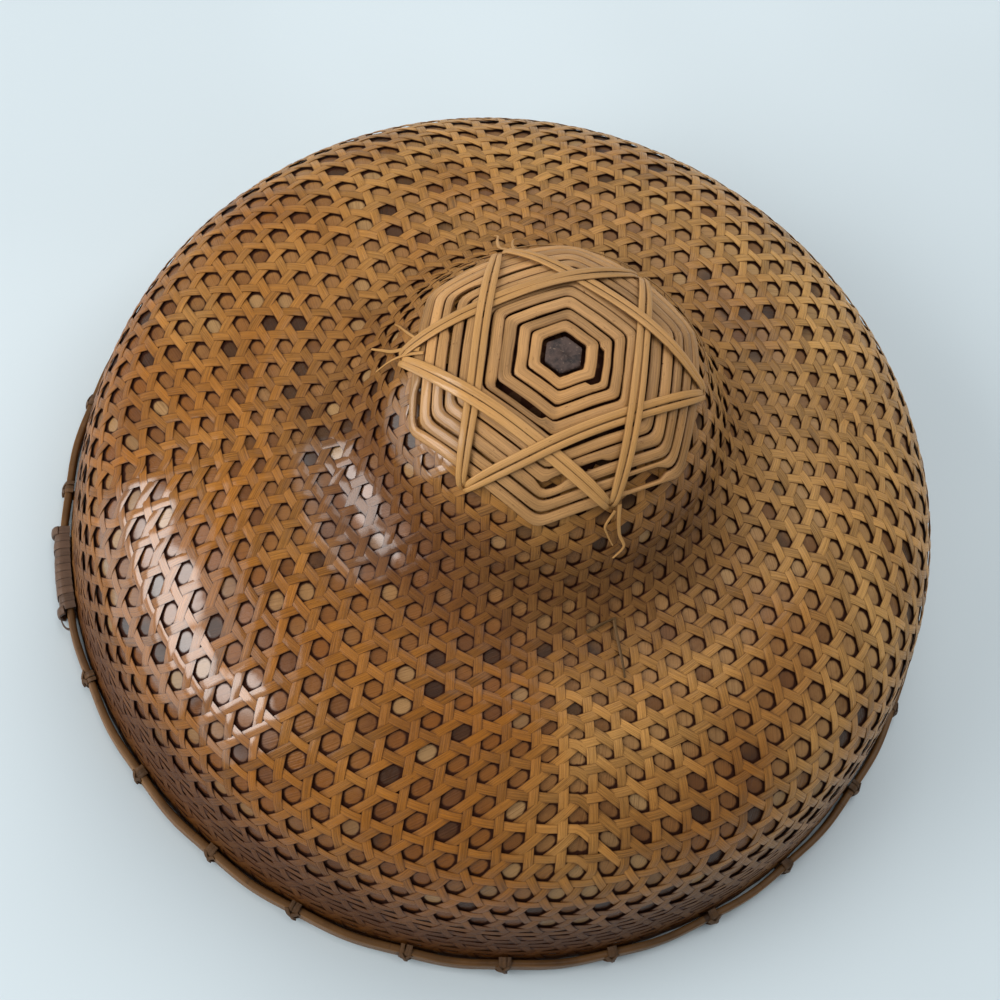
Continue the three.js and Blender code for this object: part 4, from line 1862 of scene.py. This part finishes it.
@dataclass
class LooseSplints:
    """Ends of splint that have come free of the weave and the star."""

    outline: HatOutline
    ends: tuple[tuple[str, float, float, tuple[tuple[float, float, float], ...]], ...] = (
        # the star's point or other place that it leaves, width, tone, then places on its way by
        # arc, azimuth in degrees and lift
        (
            "left",
            2.0,
            0.8,
            ((60, -166, 3.4), (68, -168, 3.4), (77, -170, 2.8), (86, -173, 2.6), (93, -175, 3.6)),
        ),
        ("left", 1.5, 0.8, ((58, -164, 3.2), (66, -165, 3.8), (76, -165.5, 3.6), (86, -165, 2.8))),
        ("left", 1.3, 0.8, ((62, -171, 2.4), (70, -176, 2.2), (79, -181, 1.6), (86, -184, 1.0))),
        ("top", 1.7, 0.8, ((64, 131, 2.6), (70, 132, 3.0), (78, 130, 5.0), (84, 128, 6.5), (88, 128, 7.0))),
        ("top", 1.4, 0.8, ((62, 129, 3.0), (70, 127, 3.0), (79, 124, 4.2), (86, 121, 4.0))),
        ("rings", 1.2, -0.6, ((66, 132, 1.8), (69, 118, 1.6), (71, 105, 1.4), (70, 92, 1.6), (66, 78, 2.0))),
        ("rings", 1.2, -0.6, ((66, 74, 1.8), (69, 64, 1.6), (70, 50, 1.4), (69, 38, 1.6), (66, 22, 2.0))),
        (
            "front",
            1.9,
            0.8,
            ((62, -49, 3.2), (68, -50, 3.4), (75, -49.8, 3.0), (81, -48.6, 3.6), (86, -52, 2.6)),
        ),
        ("front", 1.3, 0.8, ((64, -51, 3.2), (69, -55, 3.4), (74, -54, 2.4), (80, -52, 2.2))),
        (
            "brim",
            1.7,
            -3.0,
            ((116.5, -52, 0.4), (119, -52.3, 0.9), (129, -52.8, 1.6), (136, -53, 1.4), (141, -53.2, 0.5)),
        ),
        ("brim", 1.5, -3.0, ((120.2, -59.7, 0.4), (118, -56, 1.0), (116.6, -52, 0.9))),
    )

    def build(self, material: bpy.types.Material) -> bpy.types.Object:
        """Builds the ends as narrow strips along smooth paths over the hat.

        Args:
            material: the finish.

        Returns:
            The object.
        """
        mesh = MeshBuilder("loose_splints")
        for number, (_, width, shade, rows) in enumerate(self.ends):
            table = np.array(rows, dtype=float)
            place = np.arange(len(table), dtype=float)
            path = smooth_through(place, table, np.linspace(0, len(table) - 1, 9 * len(table)))
            azimuth = np.radians(path[:, 1])
            centres = self.outline.place(path[:, 0], azimuth, path[:, 2])
            sides, ups = frame_facing(centres, self.outline.normal(path[:, 0], azimuth))
            taper = np.linspace(1.0, 0.45, len(path))[:, None, None]
            sections = crowned(width, 0.5)[None] * np.concatenate([taper, np.ones_like(taper)], axis=2)
            tone = np.array([shade, 0.1, 0.1 * number])
            mesh.strip(centres, sides, ups, sections, tone, start=100.0 * number)
        return mesh.build(material, "star_splint", [], Edge.CRISP)


@dataclass
class Studio:
    """The floor, the light and the camera."""

    floor_size: float = 6.0
    floor_colour: tuple[float, float, float] = (0.83, 0.885, 0.91)
    floor_shade: float = 0.97
    floor_roughness: float = 0.55
    camera_place: tuple[float, float, float] = (0.0, -382.155, 863.059)
    camera_right: tuple[float, float, float] = (0.93117, 0.33296, 0.14853)
    camera_up: tuple[float, float, float] = (-0.36452, 0.84262, 0.39638)
    lens: float = 72.0
    camera_shift: float = -0.0025
    lamps: tuple[tuple[str, float, float, float, float, float, float], ...] = (
        # name, azimuth and height in degrees, distance, width, height, power
        ("window", -150.0, 30.0, 2.6, 1.9, 2.0, 57.0),
        ("ceiling", 78.0, 62.0, 2.4, 2.6, 2.6, 34.0),
    )
    lamp_colour: tuple[float, float, float] = (1.0, 0.98, 0.96)
    sky: float = 0.37
    sky_colour: tuple[float, float, float, float] = (0.93, 0.96, 1.0, 1.0)

    def build(self) -> None:
        """Builds the floor, lights and camera."""
        self.add_floor()
        for lamp in self.lamps:
            self.add_lamp(*lamp)
        self.add_sky()
        self.add_camera()

    def add_floor(self) -> None:
        """Adds a plain pale floor, which isn't part of the object."""
        half = self.floor_size / 2
        mesh = bpy.data.meshes.new("floor")
        corners = [(-half, -half, 0), (half, -half, 0), (half, half, 0), (-half, half, 0)]
        mesh.from_pydata(corners, [], [(0, 1, 2, 3)])
        material = bpy.data.materials.new("pale_floor")
        material.use_nodes = True
        shader = Shader(material.node_tree)
        surface = material.node_tree.nodes["Principled BSDF"]
        surface.inputs["Roughness"].default_value = self.floor_roughness
        place = shader.add("ShaderNodeTexCoord").outputs["Object"]
        cloud = shader.noise(place, 3.0, 2.0)
        shade = tuple(channel * self.floor_shade for channel in self.floor_colour)
        colour = shader.blend(shader.ramp(cloud, 0.35, 0.65), linear(*self.floor_colour), linear(*shade))
        shader.feed(surface.inputs["Base Color"], colour)
        mesh.materials.append(material)
        floor = bpy.data.objects.new("floor", mesh)
        bpy.context.scene.collection.objects.link(floor)

    def add_lamp(
        self,
        name: str,
        azimuth: float,
        height: float,
        distance: float,
        width: float,
        tall: float,
        power: float,
    ) -> None:
        """Adds a soft rectangular light that faces the hat.

        Args:
            name: its name.
            azimuth: its direction round the upright axis, in degrees.
            height: its angle above the floor, in degrees.
            distance: how far it is from the middle of the floor, in metres.
            width: its width in metres.
            tall: its other side in metres.
            power: its power in watts.
        """
        light = bpy.data.lights.new(name, "AREA")
        light.shape = "RECTANGLE"
        light.size, light.size_y = width, tall
        light.energy = power
        light.color = self.lamp_colour
        lamp = bpy.data.objects.new(name, light)
        turn, rise = math.radians(azimuth), math.radians(height)
        away = polar(math.cos(rise), turn, math.sin(rise))
        right = unit(np.cross([0.0, 0.0, 1.0], away))
        turned = np.stack([right, np.cross(away, right), away], axis=1)
        lamp.matrix_world = Matrix.Translation(away * distance) @ Matrix(turned.tolist()).to_4x4()
        bpy.context.scene.collection.objects.link(lamp)

    def add_sky(self) -> None:
        """Adds an even pale light from all sides."""
        world = bpy.data.worlds.new("room")
        world.use_nodes = True
        background = world.node_tree.nodes["Background"]
        background.inputs[0].default_value = self.sky_colour
        background.inputs[1].default_value = self.sky
        bpy.context.scene.world = world

    def add_camera(self) -> None:
        """Adds the camera at the photograph's viewing angle."""
        camera = bpy.data.cameras.new("camera")
        camera.lens = self.lens
        camera.sensor_width = 36.0
        camera.clip_start = 0.01
        camera.shift_y = self.camera_shift
        holder = bpy.data.objects.new("camera", camera)
        right = np.array(self.camera_right)
        up = np.array(self.camera_up)
        turned = np.stack([right, up, np.cross(right, up)], axis=1)
        place = np.array(self.camera_place) * MM
        holder.matrix_world = Matrix.Translation(place) @ Matrix(turned.tolist()).to_4x4()
        bpy.context.scene.collection.objects.link(holder)
        bpy.context.scene.camera = holder


WEAVE_FINISH = SplintFinish(
    name="varnished_weave",
    warm=(0.60, 0.365, 0.08),
    cool=(0.81, 0.62, 0.36),
    dirt_and_shade=(0.27, 0.14, 0.05),
    spread=0.18,
    roughness=0.45,
    varnish=0.8,
    grime_and_shade=0.8,
    streak=0.55,
    relief=0.2,
    edge_dirt=0.65,
    dip_darkening=0.45,
    fleck=0.5,
    gloss=0.16,
    foot_shade=0.6,
)
CAP_FINISH = SplintFinish(
    name="pale_splint",
    warm=(0.70, 0.505, 0.28),
    cool=(0.75, 0.59, 0.41),
    dirt_and_shade=(0.34, 0.2, 0.1),
    spread=0.22,
    roughness=0.5,
    varnish=0.3,
    grime_and_shade=0.0,
    streak=0.45,
    edge_dirt=0.7,
    dip_darkening=0.8,
    fleck=0.65,
)
STAR_FINISH = SplintFinish(
    name="star_splint",
    warm=(0.74, 0.54, 0.29),
    cool=(0.76, 0.59, 0.39),
    dirt_and_shade=(0.34, 0.22, 0.11),
    spread=0.1,
    roughness=0.45,
    varnish=0.4,
    grime_and_shade=0.0,
    edge_dirt=0.6,
    fleck=0.5,
)
HOOP_FINISH = SplintFinish(
    name="worn_hoop",
    warm=(0.56, 0.39, 0.21),
    cool=(0.52, 0.40, 0.25),
    dirt_and_shade=(0.2, 0.13, 0.08),
    spread=0.14,
    roughness=0.45,
    varnish=0.35,
    grime_and_shade=0.25,
    streak=0.5,
    dip_darkening=0.7,
)
LASHING_FINISH = SplintFinish(
    name="wound_splint",
    warm=(0.40, 0.28, 0.17),
    cool=(0.38, 0.29, 0.19),
    dirt_and_shade=(0.18, 0.12, 0.07),
    spread=0.25,
    roughness=0.5,
    varnish=0.3,
    grime_and_shade=0.3,
)
COIL_FINISH = SplintFinish(
    name="joint_splint",
    warm=(0.42, 0.32, 0.25),
    cool=(0.40, 0.32, 0.27),
    dirt_and_shade=(0.18, 0.13, 0.1),
    spread=0.2,
    roughness=0.4,
    varnish=0.5,
    grime_and_shade=0.2,
)


def build_weave(outline: HatOutline, fibre: bpy.types.NodeTree, weather: bpy.types.NodeTree) -> None:
    """Builds the weave and the leaf under it.

    Args:
        outline: the hat's outline.
        fibre: the grain group.
        weather: the weathering group.
    """
    weave = HexagonalWeave(outline)
    finish = WEAVE_FINISH.material(fibre, weather)
    for sector in range(weave.sectors):
        weave.build_sector(sector, finish)
    weave.build_hoops(finish)
    LeafLayer(weave).build(LeafFinish().material(hole_group(), weather))


def build_cap(outline: HatOutline, fibre: bpy.types.NodeTree, weather: bpy.types.NodeTree) -> None:
    """Builds the crown's cap and the loose ends of splint.

    Args:
        outline: the hat's outline.
        fibre: the grain group.
        weather: the weathering group.
    """
    cap = SplintCap(outline)
    ring_finish = CAP_FINISH.material(fibre, weather)
    star_finish = STAR_FINISH.material(fibre, weather)
    cap.plug(PlugFinish().material())
    for number in range(cap.ring_count):
        cap.ring(number, ring_finish)
    for number in range(len(cap.star_tips)):
        cap.strap(number, star_finish)
    LooseSplints(outline).build(star_finish)


def build_rim(fibre: bpy.types.NodeTree, weather: bpy.types.NodeTree) -> None:
    """Builds the hoops, the lashings and the coil over the joint.

    Args:
        fibre: the grain group.
        weather: the weathering group.
    """
    rim = BoundRim()
    hoop_finish = HOOP_FINISH.material(fibre, weather)
    outer = (rim.radius, rim.thickness, rim.height, rim.bow)
    inner = (rim.inner_radius, rim.inner_thickness, rim.inner_height, 0.0)
    for side, sizes in (("outer", outer), ("inner", inner)):
        rim.hoop(f"rim_split_{side}", f"rim_hoop_{side}", *sizes, hoop_finish)
    lashing_finish = LASHING_FINISH.material(fibre, weather)
    bays = [bay for bay in range(rim.bays) if bay != rim.wrap_bay]
    for number, bay in enumerate(bays, start=1):
        rim.lashing(bay, number, lashing_finish)
    rim.joint_coil(COIL_FINISH.material(fibre, weather))


def main() -> None:
    """Builds the studio and the hat."""
    logging.basicConfig(level=logging.INFO, format="%(message)s")
    Studio().build()
    outline = HatOutline()
    fibre = fibre_group()
    weather = Weathering().group()
    build_weave(outline, fibre, weather)
    build_cap(outline, fibre, weather)
    build_rim(fibre, weather)
    bpy.context.scene.view_settings.view_transform = "Standard"


if __name__ == "__main__":
    main()
